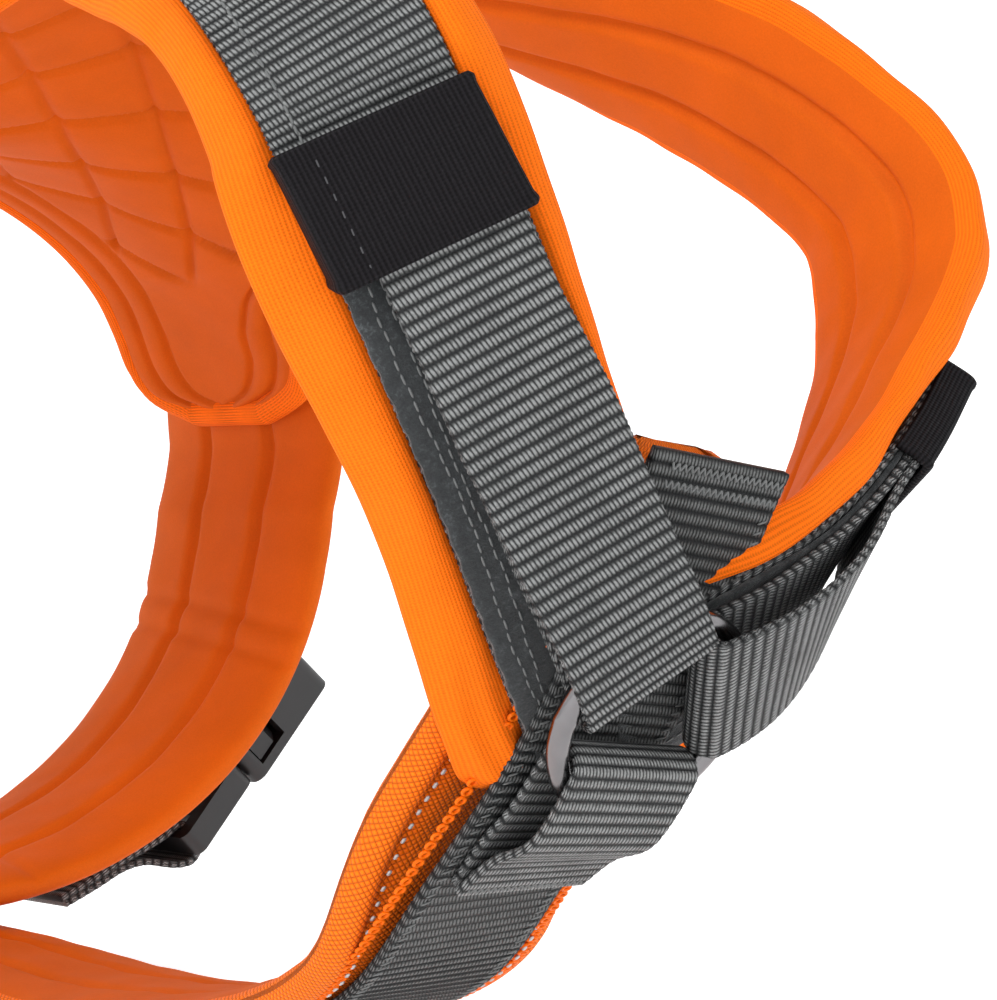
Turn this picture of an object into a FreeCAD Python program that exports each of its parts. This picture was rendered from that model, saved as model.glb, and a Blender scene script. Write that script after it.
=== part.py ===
import FreeCAD, Part
import math
import os

# Padded Y-front dog harness for a dog of about 56 cm girth, in millimetres.
# +Z is up, -Y is the way the dog faces and +X is the dog's left.
# The origin is on the inner face of the saddle, at the top of the girth.

V = FreeCAD.Vector

# ---- driving dimensions ----
GIRTH_HALF_WIDTH = 95.0
GIRTH_HALF_HEIGHT = 80.0
WITHERS_RISE = 36.0
WITHERS_Y = -135.0
RISE_START_Y = -20.0
WITHERS_NARROWING = 13.0

WEBBING_T = 1.6
SPINE_HALF = 19.0
CHEST_LOOP_HALF = 14.0
SHOULDER_PAD_T = 7.0
CHEST_PAD_T = 8.0
CHEST_PAD_HALF = 25.0
CHEST_WEBBING_SIDES = (14.4, 17.5)
GIRTH_PAD_T = 8.0
GIRTH_PAD_HALF = 32.0
GIRTH_WEBBING_HALF = 12.5
LINING_T = 4.5
SHELL_T = 2.0
LAYER_GAP = 0.15

RING_R = 18.6
RING_WIRE_R = 2.0
CHEST_ORIGIN = V(0, -250, -115)
RING_CENTRE = V(0, -250.8, -113.6)
RING_NORMAL = V(0, -0.865, -0.502)
LOOP_R = RING_WIRE_R + 1.0 + WEBBING_T / 2
LOOP_FOLD_S = 11.0

# Heights of the layers on the shoulder and chest, along the outward direction.
# Zero is the middle plane of the chest ring.
CHEST_WEBBING_N = -6.8
SHOULDER_BASE_N = CHEST_WEBBING_N - WEBBING_T - LAYER_GAP
SHOULDER_PAD_N = SHOULDER_BASE_N - (WEBBING_T + SHOULDER_PAD_T) / 2 - LAYER_GAP
CHEST_PAD_TOP_N = SHOULDER_PAD_N - (SHOULDER_PAD_T + CHEST_PAD_T) / 2 - 2 * LAYER_GAP
CHEST_PAD_BELLY_N = CHEST_WEBBING_N - (WEBBING_T + CHEST_PAD_T) / 2 - LAYER_GAP
TAPE_T = 1.1
TAPE_N = SHOULDER_BASE_N + (WEBBING_T + TAPE_T) / 2 + LAYER_GAP
ADJUST_INNER_N = TAPE_N + (WEBBING_T + TAPE_T) / 2 + LAYER_GAP
ADJUST_OUTER_N = ADJUST_INNER_N + WEBBING_T + LAYER_GAP
# Each shoulder layer is wider on its outer side than on the side next the neck.
PAD_SIDES = (29.0, 19.5)
BASE_SIDES = (19.6, 14.4)
TAPE_SIDES = (19.0, 13.8)
ADJUST_SIDES = (12.4, 14.2)
KEEPER_T = 1.4
KEEPER_LENGTH = 24.0
KEEPER_S = {"right": 103.0, "left": 77.0}

# Buckle, in its own frame: x towards the belly, y across the webbing, z outward.
BUCKLE_ANGLE = 126.0
BUCKLE_HALF_W = 17.0
BUCKLE_T = 11.0
BUCKLE_CLEAR = 10.6
SOCKET_X = (-27.0, 4.0)
CAVITY_X = -14.0
CAVITY_HALF = 14.0
CAVITY_T = 6.2
WINDOW_X = (-9.4, 0.2)
PLUG_X = (4.4, 27.0)
PLUG_T = 6.4
PLUG_SLOTS = (13.0, 20.5)
PLUG_SLOT_WIDTH = 4.4
BUCKLE_SLOT_HALF = 13.2
PRONG_PIVOT = (7.0, 10.6)
PRONG_T = 4.6

# ---- routes: point relative to the chest origin, then the outward direction ----
RIGHT_SHOULDER = [
    (6, 3.5, -6, 0.00, -0.865, -0.50),
    (-12, -6, 14, -0.05, -0.87, -0.49),
    (-32, -12, 44, -0.15, -0.88, -0.45),
    (-51, -12.5, 75.5, -0.30, -0.87, -0.40),
    (-64, -8, 105, -0.48, -0.84, -0.20),
    (-68, 15, 133, -0.72, -0.55, 0.42),
    (-56, 55, 148, -0.68, -0.35, 0.64),
    (-34, 102, 153, -0.42, -0.20, 0.88),
]
LEFT_SHOULDER = [
    (-6, 1, -3, 0.05, -0.86, -0.51),
    (18, -3, 7, 0.15, -0.82, -0.55),
    (45, -4, 22, 0.40, -0.66, -0.63),
    (70, 2, 46, 0.55, -0.45, -0.70),
    (88, 8, 75, 0.80, -0.30, -0.52),
    (89, 22, 104, 0.93, 0.00, 0.35),
    (71, 55, 132, 0.78, 0.00, 0.62),
    (35, 102, 152, 0.42, -0.20, 0.88),
]
CHEST = [
    (6, -18, 38, 0, -0.90, -0.43),
    (0, 0, 0, 0, -0.865, -0.50),
    (-3, 27, -32, 0, -0.74, -0.67),
    (0, 58, -57, 0, -0.48, -0.88),
    (0, 100, -70, 0, -0.18, -0.98),
    (0, 150, -75, 0, -0.03, -1.00),
    (0, 205, -73, 0, 0.05, -1.00),
    (0, 268, -70.5, 0, 0.02, -1.00),
]
RING_S = {"right": 10.4, "left": 9.8, "chest": 41.2}

# ---- saddle outline: angle from the top of the back, then y of its edge ----
SADDLE_FRONT = [
    (0, -150),
    (16, -148),
    (32, -138),
    (42, -112),
    (51, -58),
    (58, -37),
    (65, -31),
    (70, -24),
    (74, -8),
]
SADDLE_REAR = [(0, 22), (16, 22), (32, 23), (42, 24), (51, 26), (58, 28), (65, 28), (70, 22), (74, 8)]
SADDLE_ANGLES = [-74, -70, -65, -58, -51, -42, -32, -16, 0, 16, 32, 42, 51, 58, 65, 70, 74]

# ---- rear ring and grab handle, placed by length from the saddle's rear edge ----
REAR_RING_S = 30.0
REAR_RING_HALF = 14.0
REAR_RING_SHANK = 8.0
REAR_RING_WIRE_R = 1.9
REAR_RING_LIFT = REAR_RING_WIRE_R + WEBBING_T + 0.9
REAR_LOOP_HALF = 11.0
HANDLE_T = 3.0
HANDLE_HALF = 13.0
HANDLE_MIDDLE_S = 88.0
HANDLE_SPAN = [(-46, 0), (-36, 1), (-28, 9), (-18, 18), (0, 22), (18, 18), (28, 9), (36, 1), (46, 0)]

nodes = {}


# ---- lanes: a smooth line with an outward direction, measured by length ----
def catmull(values, t):
    """Catmull-Rom curve through equally spaced values, t from 0 to len - 1."""
    last = len(values) - 1
    i = min(int(t), last - 1)
    f = t - i
    p1 = values[i]
    p2 = values[i + 1]
    m1 = (values[i + 1] - values[max(i - 1, 0)]) * (0.5 if i > 0 else 1.0)
    m2 = (values[min(i + 2, last)] - values[i]) * (0.5 if i + 2 <= last else 1.0)
    a = 2 * f ** 3 - 3 * f ** 2 + 1
    b = f ** 3 - 2 * f ** 2 + f
    c = -2 * f ** 3 + 3 * f ** 2
    d = f ** 3 - f ** 2
    return p1 * a + m1 * b + p2 * c + m2 * d


class Lane:
    """A line on the harness: place(s, n, a) is s along, n outward and a across it."""

    def __init__(self, points, outs):
        self.points = points
        self.outs = outs
        self.lengths = [0.0]
        for p, q in zip(points, points[1:]):
            self.lengths.append(self.lengths[-1] + (q - p).Length)
        self.length = self.lengths[-1]

    def frame(self, s):
        """Point, direction along, outward and across at length s."""
        last = len(self.points) - 1
        i = 0
        while i < last - 1 and self.lengths[i + 1] < s:
            i += 1
        span = self.lengths[i + 1] - self.lengths[i]
        f = (s - self.lengths[i]) / span
        point = self.points[i] + (self.points[i + 1] - self.points[i]) * f
        before = self.points[max(i - 1, 0)]
        after = self.points[min(i + 2, last)]
        along = after - before
        along.normalize()
        out = self.outs[i] * (1 - f) + self.outs[i + 1] * f
        out = out - along * out.dot(along)
        out.normalize()
        return point, along, out, along.cross(out)

    def place(self, s, n=0.0, a=0.0):
        point, along, out, across = self.frame(s)
        return point + out * n + across * a


def station_lane(stations, count=140):
    """Lane through hand-set stations given relative to the chest origin."""
    points = [CHEST_ORIGIN + V(*row[:3]) for row in stations]
    outs = [V(*row[3:]) for row in stations]
    steps = [(len(stations) - 1) * k / count for k in range(count + 1)]
    return Lane([catmull(points, t) for t in steps], [catmull(outs, t) for t in steps])


def back_rise(y):
    """Share of the rise from the back to the withers, 0 to 1."""
    t = min(max((RISE_START_Y - y) / (RISE_START_Y - WITHERS_Y), 0.0), 1.25)
    return t * t * (3 - 2 * t)


def body_point(angle, y):
    """Point of the dog's body under the harness: an ellipse that rises to the withers."""
    rise = back_rise(y)
    a = math.radians(angle)
    x = (GIRTH_HALF_WIDTH - WITHERS_NARROWING * rise) * math.sin(a)
    z = (GIRTH_HALF_HEIGHT + WITHERS_RISE * rise) * math.cos(a) - GIRTH_HALF_HEIGHT
    return V(x, y, z)


def body_out(angle, y):
    """Outward direction of the body there."""
    round_it = body_point(angle + 0.5, y) - body_point(angle - 0.5, y)
    along_it = body_point(angle, y - 0.5) - body_point(angle, y + 0.5)
    out = along_it.cross(round_it)
    out.normalize()
    return out if out.dot(body_point(angle, y) - V(0, y, -GIRTH_HALF_HEIGHT)) > 0 else out * -1


def body_lane(start, end, count=80):
    """Lane on the body between two (angle, y) pairs."""
    points = []
    outs = []
    for k in range(count + 1):
        f = k / count
        angle = start[0] + (end[0] - start[0]) * f
        y = start[1] + (end[1] - start[1]) * f
        points.append(body_point(angle, y))
        outs.append(body_out(angle, y))
    return Lane(points, outs)


# ---- straps and pads ----
def route_point(route, t):
    """Smooth (s, n) point of a route."""
    p = catmull([V(s, n, 0) for s, n in route], t)
    return p.x, p.y


def strap(lane, route, left, right, thickness, per_leg=4, ruled=False):
    """Flat strap along a route of (s, n) pairs in a lane, between two sides.

    Ruled straps are straight between their sections, which suits tight folds.
    """
    legs = len(route) - 1
    count = legs * per_leg
    wires = []
    for k in range(count + 1):
        t = legs * k / count
        s, n = route_point(route, t)
        s0, n0 = route_point(route, max(t - 0.02, 0))
        s1, n1 = route_point(route, min(t + 0.02, legs))
        run = math.hypot(s1 - s0, n1 - n0)
        ds = -(n1 - n0) / run * thickness / 2
        dn = (s1 - s0) / run * thickness / 2
        point, along, out, across = lane.frame(s)
        point = point + out * n
        side = along * ds + out * dn
        lo = left(s) if callable(left) else left
        hi = right(s) if callable(right) else right
        corners = [
            point + across * lo - side,
            point + across * hi - side,
            point + across * hi + side,
            point + across * lo + side,
        ]
        wires.append(Part.makePolygon(corners + corners[:1]))
    return Part.makeLoft(wires, True, ruled)


def flat_route(s0, s1, n, legs=8):
    """Route that stays at one height."""
    return [(s0 + (s1 - s0) * k / legs, n) for k in range(legs + 1)]


def rounded_side(side, s0, s1, radius, tip=0.35):
    """Side distance that draws in towards both ends, as a rounded end does."""

    def at(s):
        d = min(s - s0, s1 - s)
        if d >= radius:
            return side
        f = max(d, 0) / radius
        return side * (tip + (1 - tip) * math.sqrt(1 - (1 - f) ** 2))

    return at


def half_turn(s, n, reach, radius):
    """Points of a fold towards smaller s, from under the middle height n to over it."""
    angles = [math.radians(a) for a in (0, 45, 90, 135, 180)]
    return [(s - reach * math.sin(a), n - radius * math.cos(a)) for a in angles]


def loop_turn(fold_s):
    """Route under the ring's wire, round it and back over it."""
    clear_s = fold_s + 13
    return [(clear_s, -LOOP_R)] + half_turn(fold_s, 0, LOOP_R, LOOP_R) + [(clear_s, LOOP_R)]


# ---- shoulders ----
def shoulder(side, stations, neck):
    """Pad, webbing, touch tape, adjusting strap and elastic keeper of one shoulder.

    neck is +1 where the lane's across direction points to the neck, else -1.
    """
    lane = station_lane(stations)
    end = lane.length - 2

    def sides(pair):
        outer, inner = pair
        return (-outer, inner) if neck > 0 else (-inner, outer)

    left, right = sides(PAD_SIDES)
    pad_left = rounded_side(left, 0, end, 12, 0.55)
    pad_right = rounded_side(right, 0, end, 12, 0.55)
    nodes["shoulder_pad_" + side] = strap(
        lane, flat_route(3, end, SHOULDER_PAD_N, 16), pad_left, pad_right, SHOULDER_PAD_T, 2
    )
    left, right = sides(BASE_SIDES)
    nodes["shoulder_base_webbing_" + side] = strap(
        lane, flat_route(4, end, SHOULDER_BASE_N, 16), left, right, WEBBING_T, 2
    )
    left, right = sides(TAPE_SIDES)
    keeper_s = KEEPER_S[side]
    ring_s = RING_S[side]
    tape_route = flat_route(ring_s + 14, keeper_s + 14, TAPE_N, 10)
    nodes["shoulder_touch_tape_" + side] = strap(lane, tape_route, left, right, TAPE_T, 2)
    left, right = sides(ADJUST_SIDES)
    route = [(72, ADJUST_INNER_N), (56, ADJUST_INNER_N), (45, ADJUST_INNER_N + 0.6)]
    route += loop_turn(ring_s + LOOP_FOLD_S)
    route += [(52, 0.4), (keeper_s - 8, ADJUST_OUTER_N + 0.3)]
    route += [(keeper_s + 5, ADJUST_OUTER_N), (keeper_s + 18, ADJUST_OUTER_N)]
    nodes["shoulder_adjust_strap_" + side] = strap(lane, route, left, right, WEBBING_T, 4, True)
    left, right = sides(BASE_SIDES)
    nodes["shoulder_keeper_" + side] = keeper(lane, keeper_s, left, right)


def keeper(lane, keeper_s, left, right):
    """Elastic band over the adjusting strap, sewn down beside the base webbing."""
    top = ADJUST_OUTER_N + WEBBING_T / 2 + 0.3
    foot = SHOULDER_PAD_N + SHOULDER_PAD_T / 2 + LAYER_GAP
    gap = 0.2
    wires = []
    for k in range(5):
        s = keeper_s + KEEPER_LENGTH * k / 4
        section = [
            (left - gap, foot),
            (left - gap, top),
            (right + gap, top),
            (right + gap, foot),
            (right + gap + KEEPER_T, foot),
            (right + gap + KEEPER_T, top + KEEPER_T),
            (left - gap - KEEPER_T, top + KEEPER_T),
            (left - gap - KEEPER_T, foot),
        ]
        corners = [lane.place(s, n, a) for a, n in section]
        wires.append(Part.makePolygon(corners + corners[:1]))
    return Part.makeLoft(wires, True, False)


# ---- chest ----
def chest():
    """Chest pad, its webbing, the ring and the loop that holds it."""
    lane = station_lane(CHEST)
    s_ring = RING_S["chest"]
    end = lane.length - 1
    pad_route = [
        (0, CHEST_PAD_TOP_N),
        (20, CHEST_PAD_TOP_N),
        (s_ring, CHEST_PAD_TOP_N),
        (s_ring + 22, CHEST_PAD_TOP_N),
        (s_ring + 42, CHEST_PAD_TOP_N + 1),
        (s_ring + 70, CHEST_PAD_BELLY_N - 1),
        (s_ring + 95, CHEST_PAD_BELLY_N),
    ]
    pad_route += flat_route(s_ring + 130, end, CHEST_PAD_BELLY_N, 5)
    side = rounded_side(CHEST_PAD_HALF, -1, end + 8, 22, 0.4)
    nodes["chest_pad"] = strap(lane, pad_route, lambda s: -side(s), side, CHEST_PAD_T)
    route = flat_route(-3, end, CHEST_WEBBING_N, 20)
    left, right = CHEST_WEBBING_SIDES
    nodes["chest_webbing"] = strap(lane, route, -left, right, WEBBING_T, 2)
    fold_s = s_ring + LOOP_FOLD_S
    under = CHEST_WEBBING_N + WEBBING_T + LAYER_GAP
    over = under + WEBBING_T + LAYER_GAP
    route = [(fold_s + 32, under), (fold_s + 22, under)] + loop_turn(fold_s)
    route += [(fold_s + 22, over + 2.4), (fold_s + 32, over)]
    nodes["chest_ring_loop"] = strap(lane, route, -CHEST_LOOP_HALF, CHEST_LOOP_HALF, WEBBING_T, 4, True)
    nodes["chest_ring"] = Part.makeTorus(RING_R, RING_WIRE_R, RING_CENTRE, RING_NORMAL)


# ---- girth ----
def girth():
    """Belly pad, and the webbing between it and each buckle."""
    pad_lane = body_lane((66, 0), (294, 0), 160)
    full = pad_lane.length
    lifted = LINING_T + SHELL_T + 3 * LAYER_GAP + GIRTH_PAD_T / 2
    rest = GIRTH_PAD_T / 2
    ramp = [(2, lifted), (10, lifted), (20, lifted - 1), (34, rest + 1)]
    route = ramp + flat_route(46, full - 46, rest, 16)
    route += [(full - s, n) for s, n in reversed(ramp)]
    side = rounded_side(GIRTH_PAD_HALF, 0, full, 18, 0.5)
    nodes["girth_pad"] = strap(pad_lane, route, lambda s: -side(s), side, GIRTH_PAD_T, 2)
    over = GIRTH_PAD_T + LAYER_GAP + WEBBING_T / 2
    for side_name, turn in (("left", 1), ("right", -1)):
        lane = body_lane((turn * 112, 0), (turn * 160, 0), 60)
        nodes["girth_webbing_" + side_name] = strap(
            lane, flat_route(0.5, lane.length, over), -GIRTH_WEBBING_HALF, GIRTH_WEBBING_HALF, WEBBING_T
        )


# ---- saddle ----
def saddle_edges(angle):
    """Front and rear edge of the saddle at an angle from the top."""
    a = abs(angle)
    return at_angle(SADDLE_FRONT, a), at_angle(SADDLE_REAR, a)


def at_angle(keys, a):
    """Smooth value between (angle, value) keys."""
    for i in range(len(keys) - 1):
        if a <= keys[i + 1][0]:
            f = (a - keys[i][0]) / (keys[i + 1][0] - keys[i][0])
            return catmull([V(v, 0, 0) for _, v in keys], i + f).x
    return keys[-1][1]


def saddle_layer(low, high):
    """Curved layer of the saddle between two heights off the body."""
    wires = []
    for angle in SADDLE_ANGLES:
        front, rear = saddle_edges(angle)
        ys = [front + (rear - front) * k / 8 for k in range(9)]
        under = [body_point(angle, y) + body_out(angle, y) * low for y in ys]
        over = [body_point(angle, y) + body_out(angle, y) * high for y in reversed(ys)]
        bottom = Part.BSplineCurve()
        bottom.interpolate(under)
        top = Part.BSplineCurve()
        top.interpolate(over)
        edges = [
            bottom.toShape(),
            Part.makeLine(under[-1], over[0]),
            top.toShape(),
            Part.makeLine(over[-1], under[0]),
        ]
        wires.append(Part.Wire(edges))
    return Part.makeLoft(wires, True, False)


def saddle():
    """Lining, shell, spine webbing, grab handle and the rear ring with its loop."""
    nodes["saddle_lining"] = saddle_layer(0, LINING_T)
    nodes["saddle_shell"] = saddle_layer(LINING_T + LAYER_GAP, LINING_T + LAYER_GAP + SHELL_T)
    top = LINING_T + SHELL_T + 2 * LAYER_GAP
    lane = body_lane((0, 18), (0, -142), 120)
    n = top + WEBBING_T / 2
    spine_route = flat_route(1, lane.length - 1, n, 12)
    nodes["saddle_spine_webbing"] = strap(lane, spine_route, -SPINE_HALF, SPINE_HALF, WEBBING_T)
    handle_n = top + WEBBING_T + LAYER_GAP + HANDLE_T / 2
    route = [(HANDLE_MIDDLE_S + s, handle_n + lift) for s, lift in HANDLE_SPAN]
    nodes["grab_handle"] = strap(lane, route, -HANDLE_HALF, HANDLE_HALF, HANDLE_T)
    rear_ring(lane, top + WEBBING_T + LAYER_GAP)


def rear_ring(lane, floor_n):
    """Ring for the leash at the back: a wire D whose bar turns in a webbing loop."""
    n = floor_n + REAR_RING_LIFT
    bar = lane.place(REAR_RING_S, n)
    left = bar + V(REAR_RING_HALF, 0, 0)
    right = bar - V(REAR_RING_HALF, 0, 0)
    shank = V(0, REAR_RING_SHANK, 0)
    crown = bar + V(0, REAR_RING_SHANK + REAR_RING_HALF, 0)
    path = Part.Wire(
        [
            Part.makeLine(bar, left),
            Part.makeLine(left, left + shank),
            Part.Arc(left + shank, crown, right + shank).toShape(),
            Part.makeLine(right + shank, right),
            Part.makeLine(right, bar),
        ]
    )
    start = Part.Wire(Part.makeCircle(REAR_RING_WIRE_R, bar, V(1, 0, 0)))
    nodes["rear_leash_ring"] = path.makePipeShell([start], True, True, 1)
    turn_r = REAR_RING_WIRE_R + 0.4 + WEBBING_T / 2
    low = floor_n + WEBBING_T / 2
    route = [(REAR_RING_S + 10, low), (REAR_RING_S + 5, low)]
    route += half_turn(REAR_RING_S, n, turn_r, turn_r)
    route += [(REAR_RING_S + 4, n + turn_r - 1.0), (REAR_RING_S + 10, low + WEBBING_T + LAYER_GAP)]
    nodes["rear_ring_loop"] = strap(lane, route, -REAR_LOOP_HALF, REAR_LOOP_HALF, WEBBING_T, 4, True)


# ---- side webbing and buckles ----
def side_webbing(side, turn):
    """Webbing from the spine over the saddle and the pad's end to the buckle socket."""
    lane = body_lane((turn * 13, 0), (turn * 116, 0), 120)
    on_saddle = LINING_T + SHELL_T + 2 * LAYER_GAP + WEBBING_T / 2
    on_pad = on_saddle + GIRTH_PAD_T + LAYER_GAP + 0.3
    to_angle = lane.length / 103.0
    route = flat_route(0, 36 * to_angle, on_saddle, 5)
    route += [(46 * to_angle, on_saddle + 3.0), (52 * to_angle, on_pad), (64 * to_angle, on_pad)]
    route += [(74 * to_angle, 13.5), (84 * to_angle, 13.0), (94 * to_angle, 13.0)]
    nodes["saddle_side_webbing_" + side] = strap(
        lane, route, -GIRTH_WEBBING_HALF, GIRTH_WEBBING_HALF, WEBBING_T
    )


class BuckleFrame:
    """Place and directions of one buckle."""

    def __init__(self, turn):
        angle = turn * BUCKLE_ANGLE
        self.z = body_out(angle, 0)
        self.y = V(0, turn, 0)
        self.x = self.y.cross(self.z)
        if self.x.dot(body_point(angle + turn, 0) - body_point(angle, 0)) < 0:
            self.y = self.y * -1
            self.x = self.x * -1
        self.centre = body_point(angle, 0) + self.z * (BUCKLE_CLEAR + BUCKLE_T / 2)
        self.matrix = FreeCAD.Matrix(
            self.x.x, self.y.x, self.z.x, self.centre.x,
            self.x.y, self.y.y, self.z.y, self.centre.y,
            self.x.z, self.y.z, self.z.z, self.centre.z,
            0, 0, 0, 1,
        )

    def put(self, shape):
        placed = shape.copy()
        placed.Placement = FreeCAD.Placement(self.matrix)
        return placed


def block(x, y, z):
    """Box between (low, high) pairs."""
    return Part.makeBox(x[1] - x[0], y[1] - y[0], z[1] - z[0], V(x[0], y[0], z[0]))


def socket_shape():
    """Buckle socket: a shell with side windows, and a bar for the webbing."""
    h = BUCKLE_T / 2
    body = block(SOCKET_X, (-BUCKLE_HALF_W, BUCKLE_HALF_W), (-h, h))
    upright = [e for e in body.Edges if abs(e.tangentAt(e.FirstParameter).z) > 0.9]
    body = body.makeFillet(3.0, upright)
    inside = (-CAVITY_T / 2, CAVITY_T / 2)
    across = (-BUCKLE_SLOT_HALF, BUCKLE_SLOT_HALF)
    cavity = block((CAVITY_X, SOCKET_X[1] + 1), (-CAVITY_HALF, CAVITY_HALF), inside)
    window = block(WINDOW_X, (-BUCKLE_HALF_W - 1, BUCKLE_HALF_W + 1), inside)
    slot = block((SOCKET_X[0] + 4, SOCKET_X[0] + 9), across, (-h - 1, h + 1))
    relief = block((SOCKET_X[0] - 1, SOCKET_X[0] + 4.5), across, (0.5, h + 1))
    return body.cut(cavity).cut(window).cut(slot).cut(relief)


def plug_shape():
    """Buckle plug: a ladder frame for the webbing and a middle guide."""
    h = PLUG_T / 2
    frame = block(PLUG_X, (-BUCKLE_HALF_W, BUCKLE_HALF_W), (-h, h))
    upright = [e for e in frame.Edges if abs(e.tangentAt(e.FirstParameter).z) > 0.9]
    frame = frame.makeFillet(2.5, upright)
    guide = block((CAVITY_X + 1.5, PLUG_X[0] + 1), (-4, 4), (-1.6, 1.6))
    shape = frame.fuse(guide)
    for low in PLUG_SLOTS:
        across = (-BUCKLE_SLOT_HALF, BUCKLE_SLOT_HALF)
        shape = shape.cut(block((low, low + PLUG_SLOT_WIDTH), across, (-h - 1, h + 1)))
    px, py = PRONG_PIVOT
    for sign in (-1, 1):
        hole = Part.makeCylinder(2.7, 2 * h + 2, V(px, sign * py, -h - 1))
        mouth = block((PLUG_X[0] - 1, px), (py - 4.9, py + 2.9), (-h - 1, h + 1))
        if sign < 0:
            mouth = mouth.mirror(V(0, 0, 0), V(0, 1, 0))
        shape = shape.cut(hole).cut(mouth)
    return shape


def prong_shape(sign):
    """Springy side arm of the plug, with the barb that catches in the window."""
    px, py = PRONG_PIVOT
    h = PRONG_T / 2
    outline = [
        (px, py - 1.6),
        (-8.6, py - 1.6),
        (-8.6, py + 3.0),
        (-6.0, BUCKLE_HALF_W - 0.6),
        (-0.4, BUCKLE_HALF_W - 0.6),
        (-0.4, py + 1.6),
        (px, py + 1.6),
    ]
    corners = [V(x, sign * y, -h) for x, y in outline]
    arm = Part.Face(Part.makePolygon(corners + corners[:1])).extrude(V(0, 0, PRONG_T))
    root = Part.makeCylinder(2.2, PRONG_T, V(px, sign * py, -h))
    return arm.fuse(root).removeSplitter()


def plug_strap(frame):
    """Webbing through the plug's outer slot and round its end bar, both layers hugging the girth."""
    points = [frame.centre + frame.x * (3.0 * k) for k in range(21)]
    lane = Lane(points, [frame.z] * 21)
    turn_n = PLUG_T / 2 + 0.5 + WEBBING_T / 2
    slot_s = PLUG_SLOTS[1] + PLUG_SLOT_WIDTH / 2
    over = [
        (slot_s, 0.0),
        (slot_s + 0.5, turn_n - 1.1),
        (slot_s + 2.6, turn_n),
        (slot_s + 5.6, turn_n - 0.2),
        (slot_s + 9.0, 1.0),
        (slot_s + 13.0, -5.4),
        (slot_s + 18.0, -9.6),
        (slot_s + 25.5, -13.0),
        (slot_s + 33.5, -16.9),
    ]
    under = [
        (slot_s + 0.5, 1.1 - turn_n),
        (slot_s + 2.6, -turn_n),
        (slot_s + 5.6, -turn_n - 0.9),
        (slot_s + 10.5, -7.6),
        (slot_s + 18.0, -11.4),
        (slot_s + 25.5, -14.8),
        (slot_s + 33.5, -18.7),
    ]
    route = under[::-1] + over
    return strap(lane, route, -GIRTH_WEBBING_HALF, GIRTH_WEBBING_HALF, WEBBING_T, 3, True)


def buckle(side, turn):
    """Socket, plug, its two prongs and the webbing round the plug."""
    frame = BuckleFrame(turn)
    nodes["buckle_socket_" + side] = frame.put(socket_shape())
    nodes["buckle_plug_" + side] = frame.put(plug_shape())
    for sign in (-1, 1):
        name = "front" if (frame.y * sign).y < 0 else "rear"
        nodes["buckle_prong_" + name + "_" + side] = frame.put(prong_shape(sign))
    nodes["buckle_strap_" + side] = plug_strap(frame)


# ---- where pieces press on each other ----
# Upper piece first, then the softer pieces it presses into where they cross at the chest and saddle.
PRESSED = [
    ("shoulder_adjust_strap_right", ["shoulder_adjust_strap_left", "chest_webbing"]),
    ("chest_webbing", ["shoulder_touch_tape_right", "shoulder_touch_tape_left"]),
    ("chest_webbing", ["shoulder_base_webbing_right", "shoulder_base_webbing_left"]),
    ("chest_webbing", ["shoulder_pad_right", "shoulder_pad_left"]),
    ("saddle_shell", ["saddle_side_webbing_right", "saddle_side_webbing_left"]),
    ("saddle_shell", ["shoulder_base_webbing_left", "shoulder_pad_left"]),
    ("saddle_lining", ["shoulder_pad_left"]),
    ("shoulder_base_webbing_right", ["shoulder_base_webbing_left", "shoulder_pad_right", "shoulder_pad_left"]),
    ("shoulder_base_webbing_left", ["shoulder_pad_right", "shoulder_pad_left"]),
    ("shoulder_touch_tape_right", ["shoulder_pad_left"]),
    ("shoulder_touch_tape_left", ["shoulder_pad_right"]),
    ("shoulder_pad_right", ["chest_pad"]),
    ("shoulder_pad_left", ["chest_pad"]),
]
RING_GROOVE_R = RING_WIRE_R + 0.1


def largest(shape):
    """The biggest solid of a shape."""
    return max(shape.Solids, key=lambda solid: solid.Volume)


def press():
    """Takes each upper piece's room out of the pieces under it, and the ring's out of its loops."""
    groove = Part.makeTorus(RING_R, RING_GROOVE_R, RING_CENTRE, RING_NORMAL)
    for loop in ("shoulder_adjust_strap_right", "shoulder_adjust_strap_left", "chest_ring_loop"):
        nodes[loop] = largest(nodes[loop].cut(groove))
    for upper, lowers in PRESSED:
        for lower in lowers:
            nodes[lower] = largest(nodes[lower].cut(nodes[upper]))


def build():
    saddle()
    shoulder("right", RIGHT_SHOULDER, 1)
    shoulder("left", LEFT_SHOULDER, -1)
    chest()
    girth()
    for side, turn in (("left", 1), ("right", -1)):
        side_webbing(side, turn)
        buckle(side, turn)
    press()
    os.makedirs("parts", exist_ok=True)
    for name, shape in nodes.items():
        shape.exportStep("parts/" + name + ".step")


build()
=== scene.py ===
"""Padded Y-front dog harness: fabric, webbing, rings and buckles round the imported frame."""

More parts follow.
